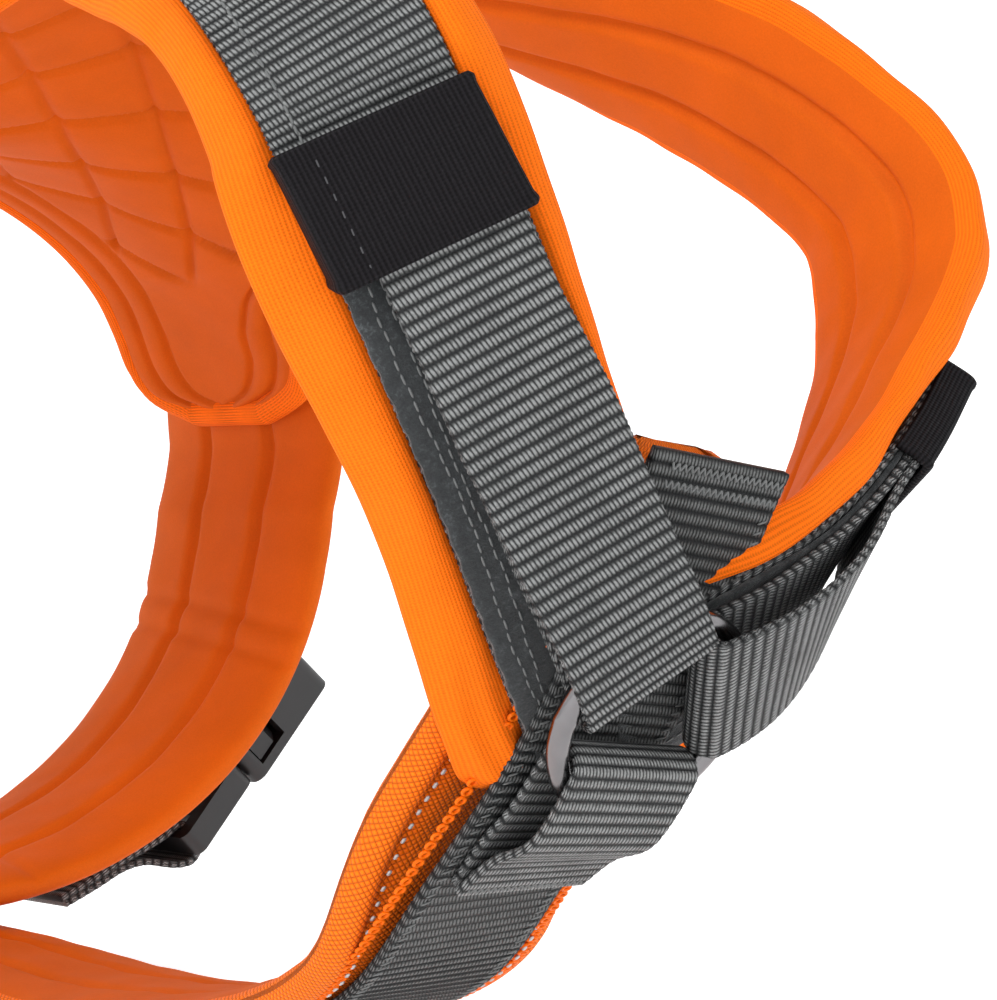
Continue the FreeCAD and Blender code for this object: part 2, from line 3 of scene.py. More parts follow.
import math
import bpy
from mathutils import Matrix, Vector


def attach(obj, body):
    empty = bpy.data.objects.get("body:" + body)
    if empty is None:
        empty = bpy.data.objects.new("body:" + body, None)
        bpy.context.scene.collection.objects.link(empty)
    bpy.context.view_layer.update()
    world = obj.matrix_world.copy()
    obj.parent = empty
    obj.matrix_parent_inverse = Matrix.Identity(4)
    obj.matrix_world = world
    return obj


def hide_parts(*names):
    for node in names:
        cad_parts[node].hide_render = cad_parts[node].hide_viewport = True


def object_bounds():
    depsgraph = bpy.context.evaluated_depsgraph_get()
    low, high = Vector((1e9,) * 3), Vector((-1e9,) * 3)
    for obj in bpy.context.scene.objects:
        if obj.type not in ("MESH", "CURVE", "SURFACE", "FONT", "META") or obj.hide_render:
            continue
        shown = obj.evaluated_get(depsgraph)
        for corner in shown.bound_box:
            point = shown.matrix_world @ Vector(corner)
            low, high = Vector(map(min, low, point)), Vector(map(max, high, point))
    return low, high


bl_info = {
    "name": "Padded Harness Maker",
    "version": (1, 0, 0),
    "blender": (4, 5, 0),
    "location": "View3D > Sidebar > Harness",
    "description": "Makes the pads, webbing, elastic, rings and buckles of a padded dog harness",
    "category": "Add Mesh",
}

import bpy
import numpy as np
from mathutils import Vector

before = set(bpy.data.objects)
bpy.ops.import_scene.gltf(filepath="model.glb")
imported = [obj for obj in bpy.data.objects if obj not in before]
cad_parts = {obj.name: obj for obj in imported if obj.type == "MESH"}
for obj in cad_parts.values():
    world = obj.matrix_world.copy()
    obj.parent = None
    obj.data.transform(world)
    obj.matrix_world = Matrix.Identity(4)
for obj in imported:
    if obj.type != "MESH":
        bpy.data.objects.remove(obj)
CAD_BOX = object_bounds()
MM = 0.001
ROOT = "harness"

# ---- sizes in millimetres, the same as the frame's ----
GIRTH_HALF = (95.0, 80.0)
WITHERS_RISE = 36.0
WITHERS_Y = -135.0
RISE_START_Y = -20.0
WITHERS_NARROWING = 13.0
WEBBING_T = 1.6
SPINE_HALF = 19.0
CHEST_LOOP_HALF = 14.0
PAD_SIDES = (29.0, 19.5)
BASE_SIDES = (19.6, 14.4)
TAPE_SIDES = (19.0, 13.8)
ADJUST_SIDES = (12.4, 14.2)
SHOULDER_PAD_T = 7.0
CHEST_PAD_T = 8.0
CHEST_PAD_HALF = 25.0
CHEST_WEBBING_SIDES = (14.4, 17.5)
GIRTH_PAD_T = 8.0
GIRTH_PAD_HALF = 32.0
GIRTH_PAD_ANGLES = (66, 294)
REAR_FULLNESS = 1.16
FRONT_FULLNESS = 0.98
GIRTH_WEBBING_HALF = 12.5
LINING_T = 4.5
SHELL_T = 2.0
QUILT_PITCH = 30.0
HANDLE_HALF = 13.0
HANDLE_T = 3.0
SIDE_WEBBING_ANGLES = (13, 116)
LAYER_GAP = 0.15
RIB_PITCH = 2.4
RING_R = 18.6
RING_WIRE_R = 2.0
CHEST_ORIGIN = np.array((0.0, -250.0, -115.0))
RING_CENTRE = np.array((0.0, -250.8, -113.6))
RING_NORMAL = np.array((0.0, -0.865, -0.502))
LOOP_R = RING_WIRE_R + 1.0 + WEBBING_T / 2
LOOP_FOLD_S = 11.0
PUFF = 2.8
LINING_SHARE = (0.54, 0.96)
CHEST_WEBBING_N = -6.8
SHOULDER_BASE_N = CHEST_WEBBING_N - WEBBING_T - LAYER_GAP
SHOULDER_PAD_N = SHOULDER_BASE_N - (WEBBING_T + SHOULDER_PAD_T) / 2 - LAYER_GAP
CHEST_PAD_TOP_N = SHOULDER_PAD_N - (SHOULDER_PAD_T + CHEST_PAD_T) / 2 - 2 * LAYER_GAP
CHEST_PAD_BELLY_N = CHEST_WEBBING_N - (WEBBING_T + CHEST_PAD_T) / 2 - LAYER_GAP
TAPE_T = 1.1
TAPE_N = SHOULDER_BASE_N + (WEBBING_T + TAPE_T) / 2 + LAYER_GAP
ADJUST_INNER_N = TAPE_N + (WEBBING_T + TAPE_T) / 2 + LAYER_GAP
ADJUST_OUTER_N = ADJUST_INNER_N + WEBBING_T + LAYER_GAP
KEEPER_T = 1.4
KEEPER_LENGTH = 24.0
KEEPER_S = {"right": 103.0, "left": 77.0}
BUCKLE_ANGLE = 126.0
BUCKLE_T = 11.0
BUCKLE_CLEAR = 10.6
PLUG_T = 6.4
PLUG_SLOT_S = 22.7
REAR_RING_S = 30.0
REAR_WIRE_R = 1.9
REAR_LOOP_HALF = 11.0
RING_S = {"right": 10.4, "left": 9.8, "chest": 41.2}

# ---- routes: point relative to the chest ring, then the outward direction ----
RIGHT_SHOULDER = [
    (6, 3.5, -6, 0.00, -0.865, -0.50),
    (-12, -6, 14, -0.05, -0.87, -0.49),
    (-32, -12, 44, -0.15, -0.88, -0.45),
    (-51, -12.5, 75.5, -0.30, -0.87, -0.40),
    (-64, -8, 105, -0.48, -0.84, -0.20),
    (-68, 15, 133, -0.72, -0.55, 0.42),
    (-56, 55, 148, -0.68, -0.35, 0.64),
    (-34, 102, 153, -0.42, -0.20, 0.88),
]
LEFT_SHOULDER = [
    (-6, 1, -3, 0.05, -0.86, -0.51),
    (18, -3, 7, 0.15, -0.82, -0.55),
    (45, -4, 22, 0.40, -0.66, -0.63),
    (70, 2, 46, 0.55, -0.45, -0.70),
    (88, 8, 75, 0.80, -0.30, -0.52),
    (89, 22, 104, 0.93, 0.00, 0.35),
    (71, 55, 132, 0.78, 0.00, 0.62),
    (35, 102, 152, 0.42, -0.20, 0.88),
]
CHEST = [
    (6, -18, 38, 0, -0.90, -0.43),
    (0, 0, 0, 0, -0.865, -0.50),
    (-3, 27, -32, 0, -0.74, -0.67),
    (0, 58, -57, 0, -0.48, -0.88),
    (0, 100, -70, 0, -0.18, -0.98),
    (0, 150, -75, 0, -0.03, -1.00),
    (0, 205, -73, 0, 0.05, -1.00),
    (0, 268, -70.5, 0, 0.02, -1.00),
]


# ---- curves and lanes ----
def catmull(values, t):
    """Catmull-Rom curve through equally spaced rows, at an array of t from 0 to len - 1."""
    values = np.asarray(values, float)
    last = len(values) - 1
    slopes = np.empty_like(values)
    slopes[1:-1] = (values[2:] - values[:-2]) / 2
    slopes[0] = values[1] - values[0]
    slopes[-1] = values[-1] - values[-2]
    i = np.clip(np.asarray(t, float).astype(int), 0, last - 1)
    f = (t - i)[:, None]
    start = (2 * f**3 - 3 * f**2 + 1) * values[i] + (f**3 - 2 * f**2 + f) * slopes[i]
    return start + (3 * f**2 - 2 * f**3) * values[i + 1] + (f**3 - f**2) * slopes[i + 1]


def unit(rows):
    """Rows scaled to length one."""
    return rows / np.linalg.norm(rows, axis=-1, keepdims=True)


class Lane:
    """A line on the harness. place(s, a, n) goes s along it, a across it and n outward."""

    def __init__(self, points, outs):
        self.points = points
        steps = np.linalg.norm(np.diff(points, axis=0), axis=1)
        self.s = np.concatenate(([0.0], np.cumsum(steps)))
        self.length = float(self.s[-1])
        self.along = unit(np.gradient(points, self.s, axis=0))
        outs = outs - (outs * self.along).sum(1, keepdims=True) * self.along
        self.outs = unit(outs)

    def at(self, rows, s):
        """Rows of the lane at lengths s, straight on past the ends."""
        return np.stack([np.interp(s, self.s, rows[:, k]) for k in range(3)], -1)

    def place(self, s, a, n):
        s = np.asarray(s, float)
        along = unit(self.at(self.along, s))
        out = self.at(self.outs, s)
        out = unit(out - (out * along).sum(-1, keepdims=True) * along)
        across = np.cross(along, out)
        beyond = s - np.clip(s, 0, self.length)
        point = self.at(self.points, s) + along * beyond[..., None]
        return point + across * np.asarray(a)[..., None] + out * np.asarray(n)[..., None]


def station_lane(stations, count=240):
    """Lane through the listed stations, given relative to the chest origin."""
    t = np.linspace(0, len(stations) - 1, count)
    rows = catmull(stations, t)
    return Lane(rows[:, :3] + CHEST_ORIGIN, rows[:, 3:])


def back_rise(y):
    """Share of the rise from the back to the withers."""
    t = np.clip((RISE_START_Y - y) / (RISE_START_Y - WITHERS_Y), 0, 1.25)
    return t * t * (3 - 2 * t)


def body_point(angle, y):
    """The dog's body: x = (a - narrowing) sin(angle), z = (b + rise) cos(angle) - b."""
    rise = back_rise(y)
    turn = np.radians(angle)
    x = (GIRTH_HALF[0] - WITHERS_NARROWING * rise) * np.sin(turn)
    z = (GIRTH_HALF[1] + WITHERS_RISE * rise) * np.cos(turn) - GIRTH_HALF[1]
    return np.stack([x, y + 0 * x, z], -1)


def body_place(angle, y, n):
    """Point n off the body, along the cross product of its two tangents."""
    angle, y, n = np.broadcast_arrays(np.asarray(angle, float), np.asarray(y, float), np.asarray(n, float))
    round_it = body_point(angle + 0.5, y) - body_point(angle - 0.5, y)
    along_it = body_point(angle, y - 0.5) - body_point(angle, y + 0.5)
    out = unit(np.cross(along_it, round_it))
    point = body_point(angle, y)
    middle = np.stack([0 * y, y, 0 * y - GIRTH_HALF[1]], -1)
    sign = np.sign(((point - middle) * out).sum(-1, keepdims=True))
    return point + out * sign * n[..., None]


def body_lane(start, end, count=160):
    """Lane on the body between two (angle, y) pairs."""
    angle = np.linspace(start[0], end[0], count)
    y = np.linspace(start[1], end[1], count)
    point = body_place(angle, y, np.zeros(count))
    return Lane(point, body_place(angle, y, np.ones(count)) - point)


def wobble(s, a, seed, size):
    """Soft unevenness of stuffed cloth: a sum of three slow waves."""
    p = seed * 1.7
    return size * (
        0.5 * np.sin(0.11 * s + 0.09 * a + p)
        + 0.3 * np.sin(0.23 * s - 0.17 * a + 2.1 * p)
        + 0.2 * np.sin(0.41 * s + 0.31 * a + 3.3 * p)
    )


# ---- meshes ----
def make_object(name, points, faces, uvs=None):
    """Object at the origin with its place in its mesh, points given in millimetres."""
    mesh = bpy.data.meshes.new(name)
    mesh.from_pydata((np.asarray(points) * MM).tolist(), [], faces)
    if uvs is not None:
        layer = mesh.uv_layers.new(name="cloth_mm")
        loops = np.empty(len(mesh.loops), np.int32)
        mesh.loops.foreach_get("vertex_index", loops)
        layer.data.foreach_set("uv", np.asarray(uvs, float)[loops].ravel())
    mesh.validate()
    mesh.shade_smooth()
    obj = bpy.data.objects.new(name, mesh)
    bpy.context.scene.collection.objects.link(obj)
    return obj


def tube_faces(rows, cols, capped=True):
    """Quads of a grid that is closed across, with a fan of corners over each end."""
    r, c = np.meshgrid(np.arange(rows - 1), np.arange(cols), indexing="ij")
    c2 = (c + 1) % cols
    quads = np.stack([r * cols + c, r * cols + c2, (r + 1) * cols + c2, (r + 1) * cols + c], -1)
    faces = quads.reshape(-1, 4).tolist()
    if capped:
        faces.append(list(range(cols))[::-1])
        faces.append([(rows - 1) * cols + k for k in range(cols)])
    return faces


def ring_faces(rows, cols):
    """Quads of a grid that is closed both across and along."""
    return [[v % (rows * cols) for v in face] for face in tube_faces(rows + 1, cols, False)]


def skin(name, grid, uv):
    """Object from a grid of points (rows, cols, 3) that is closed across."""
    rows, cols = grid.shape[:2]
    obj = make_object(name, grid.reshape(-1, 3), tube_faces(rows, cols), uv.reshape(-1, 2))
    face_outward(obj)
    return obj


def face_outward(obj):
    """Turns every face outward, by the sign of the closed mesh's volume."""
    mesh = obj.data
    mesh.calc_loop_triangles()
    corner = np.empty(len(mesh.vertices) * 3)
    mesh.vertices.foreach_get("co", corner)
    corner = corner.reshape(-1, 3)
    tris = np.empty(len(mesh.loop_triangles) * 3, np.int32)
    mesh.loop_triangles.foreach_get("vertices", tris)
    p = corner[tris.reshape(-1, 3)]
    if np.einsum("ij,ij->i", p[:, 0], np.cross(p[:, 1], p[:, 2])).sum() < 0:
        mesh.flip_normals()


def route_curve(route, step):
    """Fine points (s, n), their unit side direction and their length along the route."""
    route = np.asarray(route, float)
    t = np.linspace(0, len(route) - 1, (len(route) - 1) * 60 + 1)
    fine = catmull(route, t)
    length = np.concatenate(([0.0], np.cumsum(np.linalg.norm(np.diff(fine, axis=0), axis=1))))
    count = max(int(length[-1] / step), 8)
    run = np.linspace(0, length[-1], count)
    at = np.stack([np.interp(run, length, fine[:, k]) for k in range(2)], -1)
    ahead = unit(np.gradient(at, run, axis=0))
    return at, np.stack([-ahead[:, 1], ahead[:, 0]], -1), run


def lane_along(lane, s):
    """Unit direction along the lane at lengths s."""
    return unit(lane.at(lane.along, s))


def sampled(value, *at):
    """A distance along a lane or route: one number, or worked out from where it is."""
    return value(*at) if callable(value) else np.full(len(at[0]), float(value))


def webbing(name, lane, route, left, right, look, thickness=WEBBING_T, pitch=RIB_PITCH, rib=0.3,
            cols=20, step=0.33, fold=False):
    """Woven strap: a flat section whose faces rise and fall as |sin| ribs across the route.

    Where the strap folds its ribs draw together and flatten; its edges are small yarn loops.
    """
    at, side, run = route_curve(route, step)
    tight = np.zeros(len(run))
    if fold:
        tight = np.exp(-(((run - run[np.argmin(at[:, 0])]) / 6.0) ** 2))
    stretch = 1 / (1 - 0.36 * tight)
    v = np.concatenate(([0.0], np.cumsum(np.diff(run) * (stretch[1:] + stretch[:-1]) / 2)))
    share = np.linspace(-1, 1, cols)
    edge = np.array([0.5, 0.0, -0.5])
    lo = sampled(left, at[:, 0], at[:, 1])
    hi = sampled(right, at[:, 0], at[:, 1])
    level = np.concatenate([np.ones(cols), edge, -np.ones(cols), -edge])
    q = np.concatenate([share, np.ones(3), share[::-1], -np.ones(3)])
    across = (lo + hi)[:, None] / 2 + (hi - lo)[:, None] / 2 * q
    phase = (np.pi * v / pitch)[:, None]
    ribs = np.where(level > 0, np.abs(np.sin(phase)), np.abs(np.cos(phase))) ** 0.65
    near_edge = np.minimum(across - lo[:, None], hi[:, None] - across)
    deep = rib * np.clip(0.4 + near_edge / 2.5, 0.4, 1) * (1 - 0.6 * tight)[:, None]
    height = level * (thickness / 2) + np.where(np.abs(level) > 0.9, level, 0) * deep * (ribs - 1)
    loops = 0.28 * np.abs(np.sin(2 * phase)) * np.clip(1 - np.abs(level), 0, 1) ** 0.5
    loops = loops + np.where(near_edge < 0.1, 0.12 * np.abs(np.sin(2 * phase)), 0)
    across = across + loops * np.sign(q)
    s = at[:, :1] + side[:, :1] * height
    n = at[:, 1:] + side[:, 1:] * height
    base = lane.place(np.broadcast_to(at[:, :1], s.shape), across, n)
    base = base + lane_along(lane, at[:, 0])[:, None, :] * (s - at[:, :1])[..., None]
    round_edge = np.concatenate([0 * share, (0.5, 1.0, 1.5), 0 * share, (-0.5, -1.0, -1.5)])
    uv = np.stack([across + round_edge, np.broadcast_to(v[:, None], s.shape)], -1)
    obj = skin(name, base, uv)
    obj.data.materials.append(look)
    return obj


def even_section(power, half, thickness, cols):
    """Points (q, h) spaced evenly round the rounded box |q|^p + |h|^p = 1, and their distance."""
    turn = np.linspace(0, 2 * np.pi, 4001)
    q = np.sign(np.cos(turn)) * np.abs(np.cos(turn)) ** (2 / power)
    h = np.sign(np.sin(turn)) * np.abs(np.sin(turn)) ** (2 / power)
    steps = np.hypot(np.diff(q) * half, np.diff(h) * thickness / 2)
    run = np.concatenate(([0.0], np.cumsum(steps)))
    want = np.linspace(0, run[-1], cols, endpoint=False)
    return np.interp(want, run, q), np.interp(want, run, h), want


def pad(name, place, s0, s1, left, right, middle, thickness, look, seed=0.0,
        seams=(), seam_depth=1.3, power=3.2, step=1.5, cols=72, end=7.0, swell=0.0, extra=None):
    """Stuffed pad: a rounded-box section |q|^p + |h|^p = 1 carried along, closed at its ends.

    Seams are sewn channels at fixed shares of the half width on the lining side.
    """
    count = int(abs(s1 - s0) / step)
    s = np.linspace(s0, s1, count)
    away = np.minimum(s - s0, s1 - s)
    close = np.sqrt(np.clip(1 - (1 - np.clip(away / end, 0, 1)) ** 2, 0, 1))
    close = np.maximum(close, 0.02)
    lo = sampled(left, s)
    hi = sampled(right, s)
    mid = sampled(middle, s)
    centre = (lo + hi) / 2
    half = (hi - lo) / 2
    q, h, ring = even_section(power, half.max(), thickness, cols)
    inset = (1 - close) * np.minimum(end * 0.6, half * 0.6)
    a = centre[:, None] + (half - inset)[:, None] * q[None, :]
    groove = np.zeros_like(a)
    for share in seams:
        groove += np.exp(-(((q[None, :] - share) * half[:, None] / 1.5) ** 2))
    lining = (h < -0.05)[None, :]
    crown = swell * (1 - q[None, :] ** 2)
    lobe = np.where(lining, crown - seam_depth * groove, 0)
    level = h[None, :] * (thickness / 2) * close[:, None]
    level = level - lobe * close[:, None] * np.abs(h)[None, :]
    s_grid = np.broadcast_to(s[:, None], a.shape)
    soft = wobble(s_grid, a, seed, 0.35) * np.abs(h)[None, :] * close[:, None]
    n = mid[:, None] + level + soft * np.where(lining, -1, 0.25)
    if extra is not None:
        a, n = extra(s_grid, a, n, q[None, :] + 0 * a, h[None, :] + 0 * a)
    uv = np.stack([ring[None, :] + 0 * a, s_grid], -1)
    obj = skin(name, place(s_grid, a, n), uv)
    obj.data.materials.append(look)
    return obj


def closed_tube(name, path, radius, look, sides):
    """Round tube of one radius carried round a closed path of points."""
    ahead = unit(np.roll(path, -1, axis=0) - np.roll(path, 1, axis=0))
    one = unit(np.cross(ahead, (0.31, 0.17, 0.93)))
    two = np.cross(ahead, one)
    turn = np.linspace(0, 2 * np.pi, sides, endpoint=False)
    grid = path[:, None] + radius * (
        np.cos(turn)[None, :, None] * one[:, None] + np.sin(turn)[None, :, None] * two[:, None]
    )
    uv = np.stack(np.meshgrid(turn * radius, np.arange(len(path)) * 1.0), -1)
    obj = make_object(name, grid.reshape(-1, 3), ring_faces(len(path), sides), uv.reshape(-1, 2))
    face_outward(obj)
    obj.data.materials.append(look)
    return obj


def stitches(name, points, outs, along, look, length=2.0, width=0.45, height=0.32):
    """Row of small rounded stitches: each a six-sided bead lying along the seam."""
    across = np.cross(along, outs)
    turn = np.linspace(0, 2 * np.pi, 6, endpoint=False)
    profile = [(-0.5, 0.25), (-0.3, 0.9), (0.3, 0.9), (0.5, 0.25)]
    rings = []
    for share, fat in profile:
        ring = (
            along[:, None] * (share * length)
            + across[:, None] * (np.cos(turn)[None, :, None] * width * fat)
            + outs[:, None] * (np.sin(turn)[None, :, None] * height * fat)
        )
        rings.append(points[:, None] + ring)
    grid = np.stack(rings, 1)
    one = np.array(tube_faces(4, 6, False))
    count = len(points)
    offset = (np.arange(count) * 24)[:, None, None]
    faces = (one[None] + offset).reshape(-1, 4).tolist()
    ends = np.array([list(range(6))[::-1], list(range(18, 24))])
    faces += (ends[None] + offset).reshape(-1, 6).tolist()
    obj = make_object(name, grid.reshape(-1, 3), faces)
    obj.data.materials.append(look)
    return obj


def lane_seam(name, lane, s0, s1, a, n, look, pitch, finish="grey_webbing", slant=0.0, **size):
    """Row of stitches along a lane, each a given side distance and height off it."""
    s = np.arange(s0, s1, pitch)
    side = sampled(a, s)
    high = sampled(n, s)
    here = lane.place(s, side, high)
    ahead = unit(lane.place(s + 0.5, side + slant * 0.5, high) - here)
    outs = unit(lane.place(s, side, high + 1) - here)
    own(stitches(name, here, outs, ahead, look, **size), ROOT, finish)


# ---- materials ----
class Look:
    """Small builder for one procedural material."""

    def __init__(self, name, roughness=0.8, metallic=0.0):
        self.material = bpy.data.materials.new(name)
        self.material.use_nodes = True
        self.tree = self.material.node_tree
        self.shader = self.tree.nodes["Principled BSDF"]
        self.shader.inputs["Roughness"].default_value = roughness
        self.shader.inputs["Metallic"].default_value = metallic
        self.shader.inputs["Specular IOR Level"].default_value = 0.12

    def node(self, kind, **values):
        made = self.tree.nodes.new(kind)
        for key, value in values.items():
            setattr(made, key, value)
        return made

    def link(self, out, into):
        self.tree.links.new(out, into)

    def put(self, socket, value):
        if isinstance(value, (int, float)):
            socket.default_value = value
        else:
            self.link(value, socket)

    def math(self, operation, first, second=None, third=None):
        made = self.node("ShaderNodeMath", operation=operation)
        self.put(made.inputs[0], first)
        if second is not None:
            self.put(made.inputs[1], second)
        if third is not None:
            self.put(made.inputs[2], third)
        return made.outputs[0]

    def cloth(self):
        """The piece's own cloth coordinates, in millimetres across and along."""
        uv = self.node("ShaderNodeUVMap", uv_map="cloth_mm")
        split = self.node("ShaderNodeSeparateXYZ")
        self.link(uv.outputs[0], split.inputs[0])
        return split.outputs[0], split.outputs[1]

    def object_coords(self):
        return self.node("ShaderNodeTexCoord").outputs["Object"]

    def noise(self, vector, scale, detail=3.0, roughness=0.6):
        made = self.node("ShaderNodeTexNoise")
        made.inputs["Scale"].default_value = scale
        made.inputs["Detail"].default_value = detail
        made.inputs["Roughness"].default_value = roughness
        self.link(vector, made.inputs["Vector"])
        return made.outputs["Fac"]

    def wave(self, coordinate, pitch):
        """0 to 1 cosine wave with one crest per pitch."""
        angle = self.math("MULTIPLY", coordinate, 2 * math.pi / pitch)
        return self.math("MULTIPLY_ADD", self.math("COSINE", angle), 0.5, 0.5)

    def ramp(self, factor, stops):
        made = self.node("ShaderNodeValToRGB")
        elements = made.color_ramp.elements
        while len(elements) < len(stops):
            elements.new(0.5)
        for element, (position, color) in zip(elements, stops):
            element.position = position
            element.color = (*color, 1.0)
        self.put(made.inputs["Fac"], factor)
        return made.outputs["Color"]

    def color(self, value):
        self.link(value, self.shader.inputs["Base Color"])

    def bump(self, height, distance, strength=1.0):
        made = self.node("ShaderNodeBump")
        made.inputs["Distance"].default_value = distance * MM
        made.inputs["Strength"].default_value = strength
        self.link(height, made.inputs["Height"])
        self.link(made.outputs["Normal"], self.shader.inputs["Normal"])

    def sheen(self, weight, roughness=0.5, tint=(1, 1, 1)):
        self.shader.inputs["Sheen Weight"].default_value = weight
        self.shader.inputs["Sheen Roughness"].default_value = roughness
        self.shader.inputs["Sheen Tint"].default_value = (*tint, 1)


def scaled(color, amount):
    """A colour made darker or brighter, never past white."""
    return tuple(min(c * amount, 1.0) for c in color)


def knit_look(name, color, pitch=0.72):
    """Rib knit: columns along the pad, small V stitches in each, a little fuzz."""
    look = Look(name, 0.85)
    u, v = look.cloth()
    coords = look.object_coords()
    soft = look.noise(coords, 1500, 3)
    patch = look.noise(coords, 70, 2)
    drift = look.math("MULTIPLY_ADD", soft, 0.22, u)
    column = look.wave(drift, pitch)
    lean = look.math("ABSOLUTE", look.math("SINE", look.math("MULTIPLY", drift, math.pi / pitch)))
    stitch = look.wave(look.math("MULTIPLY_ADD", lean, 0.3, v), 0.55)
    height = look.math("MULTIPLY_ADD", stitch, 0.3, look.math("MULTIPLY", column, 0.5))
    height = look.math("MULTIPLY_ADD", soft, 0.35, height)
    tone = look.math("MULTIPLY_ADD", patch, 0.25, height)
    # Colour follows stitch height: darker in the grooves as painted shade, lighter on the raised stitches as
    # a painted highlight; the patch noise adds random tone.
    stops = [(0.15, scaled(color, 0.6)), (0.6, scaled(color, 0.95)), (1.0, scaled(color, 1.2))]
    look.color(look.ramp(tone, stops))
    look.bump(height, 0.16, 0.7)
    look.sheen(0.08, 0.4, (1.0, 0.45, 0.12))
    return look.material


def lining_look(name, color):
    """Smooth brushed lining: fine short nap over the foam."""
    look = Look(name, 0.7)
    coords = look.object_coords()
    nap = look.noise(coords, 2600, 4, 0.7)
    cloud = look.noise(coords, 60, 3)
    tone = look.math("MULTIPLY_ADD", cloud, 0.35, look.math("MULTIPLY", nap, 0.5))
    look.color(look.ramp(tone, [(0.2, scaled(color, 0.72)), (0.6, color), (0.9, scaled(color, 1.1))]))
    look.bump(nap, 0.06, 0.5)
    look.sheen(0.05, 0.35, (1.0, 0.4, 0.1))
    return look.material


def cordura_look(name, color, pitch=0.9):
    """Coarse plain weave: crossed yarn crests that take turns going over."""
    look = Look(name, 0.55)
    u, v = look.cloth()
    bias = math.pi / pitch / math.sqrt(2)
    one = look.math("SINE", look.math("MULTIPLY", look.math("ADD", u, v), bias))
    two = look.math("SINE", look.math("MULTIPLY", look.math("SUBTRACT", u, v), bias))
    over = look.math("POWER", look.math("ABSOLUTE", look.math("MULTIPLY", one, two)), 0.6)
    fibre = look.noise(look.object_coords(), 2400, 2)
    height = look.math("MULTIPLY_ADD", fibre, 0.2, over)
    # Colour follows weave height: darker where the yarn dips as painted shade, lighter on the crests as a
    # painted highlight; the fibre noise adds random tone.
    stops = [(0.1, scaled(color, 0.5)), (0.5, scaled(color, 0.9)), (1.0, scaled(color, 1.35))]
    look.color(look.ramp(height, stops))
    look.bump(height, 0.3, 0.9)
    look.sheen(0.08, 0.5, (1.0, 0.6, 0.3))
    return look.material


def webbing_look(name, light, gap_shade, pitch=RIB_PITCH, yarn=0.78):
    """Ribbed webbing: each rib a row of slanted oval yarn beads, painted shade in the gaps between ribs and a
    painted highlight on the bead crests.
    """
    look = Look(name, 0.55)
    u, v = look.cloth()
    coords = look.object_coords()
    fibre = look.noise(coords, 2300, 3, 0.7)
    patch = look.noise(coords, 150, 2)
    row = look.math("MULTIPLY", look.math("MULTIPLY_ADD", fibre, 0.22, v), 1 / pitch)
    rib = look.math("ABSOLUTE", look.math("SINE", look.math("MULTIPLY", row, math.pi)))
    lean = look.math("MULTIPLY_ADD", row, 0.62, look.math("MULTIPLY", u, 1 / yarn))
    bead = look.math("ABSOLUTE", look.math("SINE", look.math("MULTIPLY", lean, math.pi)))
    bead = look.math("POWER", bead, 0.7)
    height = look.math("MULTIPLY", look.math("POWER", rib, 0.8), look.math("MULTIPLY_ADD", bead, 0.8, 0.2))
    tone = look.math("MULTIPLY", height, look.math("MULTIPLY_ADD", fibre, 1.3, 0.4))
    tone = look.math("MULTIPLY", tone, look.math("MULTIPLY_ADD", patch, 0.5, 0.75))
    # Ramp by rib height: painted shade in the gaps, the yarn colour on the flanks and a painted highlight on
    # the bead crests; fibre and patch noise add random tone.
    stops = [(0.22, gap_shade), (0.48, scaled(light, 0.3)), (0.72, scaled(light, 0.7)), (0.95, scaled(light, 1.3))]
    look.color(look.ramp(tone, stops))
    look.bump(height, 0.42, 1.0)
    return look.material


def tape_look(name, color):
    """Dark loop tape: a felt of short hairs with a few bright ends."""
    look = Look(name, 0.9)
    coords = look.object_coords()
    hair = look.noise(coords, 2200, 5, 0.75)
    clump = look.noise(coords, 420, 3)
    tone = look.math("MULTIPLY_ADD", clump, 0.5, look.math("MULTIPLY", hair, 0.6))
    stops = [(0.35, scaled(color, 0.5)), (0.6, color), (0.74, scaled(color, 2.4)), (0.85, scaled(color, 6))]
    look.color(look.ramp(tone, stops))
    look.bump(tone, 0.5, 0.8)
    look.sheen(0.3, 0.5)
    return look.material


def elastic_look(name, color, pitch=0.87):
    """Woven elastic: fine cords side by side with small cross stitches."""
    look = Look(name, 0.7)
    u, v = look.cloth()
    fibre = look.noise(look.object_coords(), 1500, 3)
    cord = look.wave(look.math("MULTIPLY_ADD", fibre, 0.12, u), pitch)
    tick = look.wave(look.math("MULTIPLY_ADD", fibre, 0.2, v), 0.6)
    height = look.math("MULTIPLY_ADD", tick, 0.3, cord)
    # Colour follows cord height: darker between the cords as painted shade, lighter on the cord tops as a
    # painted highlight.
    look.color(look.ramp(height, [(0.1, scaled(color, 0.3)), (0.7, color), (1.0, scaled(color, 1.5))]))
    look.bump(height, 0.22, 0.9)
    return look.material


def mesh_look(name, color):
    """Shiny monofilament of the spacer mesh, lit through from the foam behind it."""
    look = Look(name, 0.35)
    fibre = look.noise(look.object_coords(), 1800, 3)
    look.color(look.ramp(fibre, [(0.2, scaled(color, 0.7)), (0.7, scaled(color, 1.15))]))
    look.bump(fibre, 0.05, 0.6)
    return look.material


def plain_look(name, color, roughness, metallic=0.0, grain=1800, depth=0.02):
    """Moulded or drawn surface: one colour, worn slightly along a fine grain."""
    look = Look(name, roughness, metallic)
    look.shader.inputs["Specular IOR Level"].default_value = 0.5
    coords = look.object_coords()
    fine = look.noise(coords, grain, 3)
    worn = look.noise(coords, 90, 3)
    look.color(look.ramp(worn, [(0.3, scaled(color, 0.85)), (0.7, scaled(color, 1.12))]))
    rough = look.math("MULTIPLY_ADD", worn, 0.12, roughness - 0.06)
    look.link(rough, look.shader.inputs["Roughness"])
    look.bump(fine, depth, 0.6)
    return look.material


LOOKS = {}


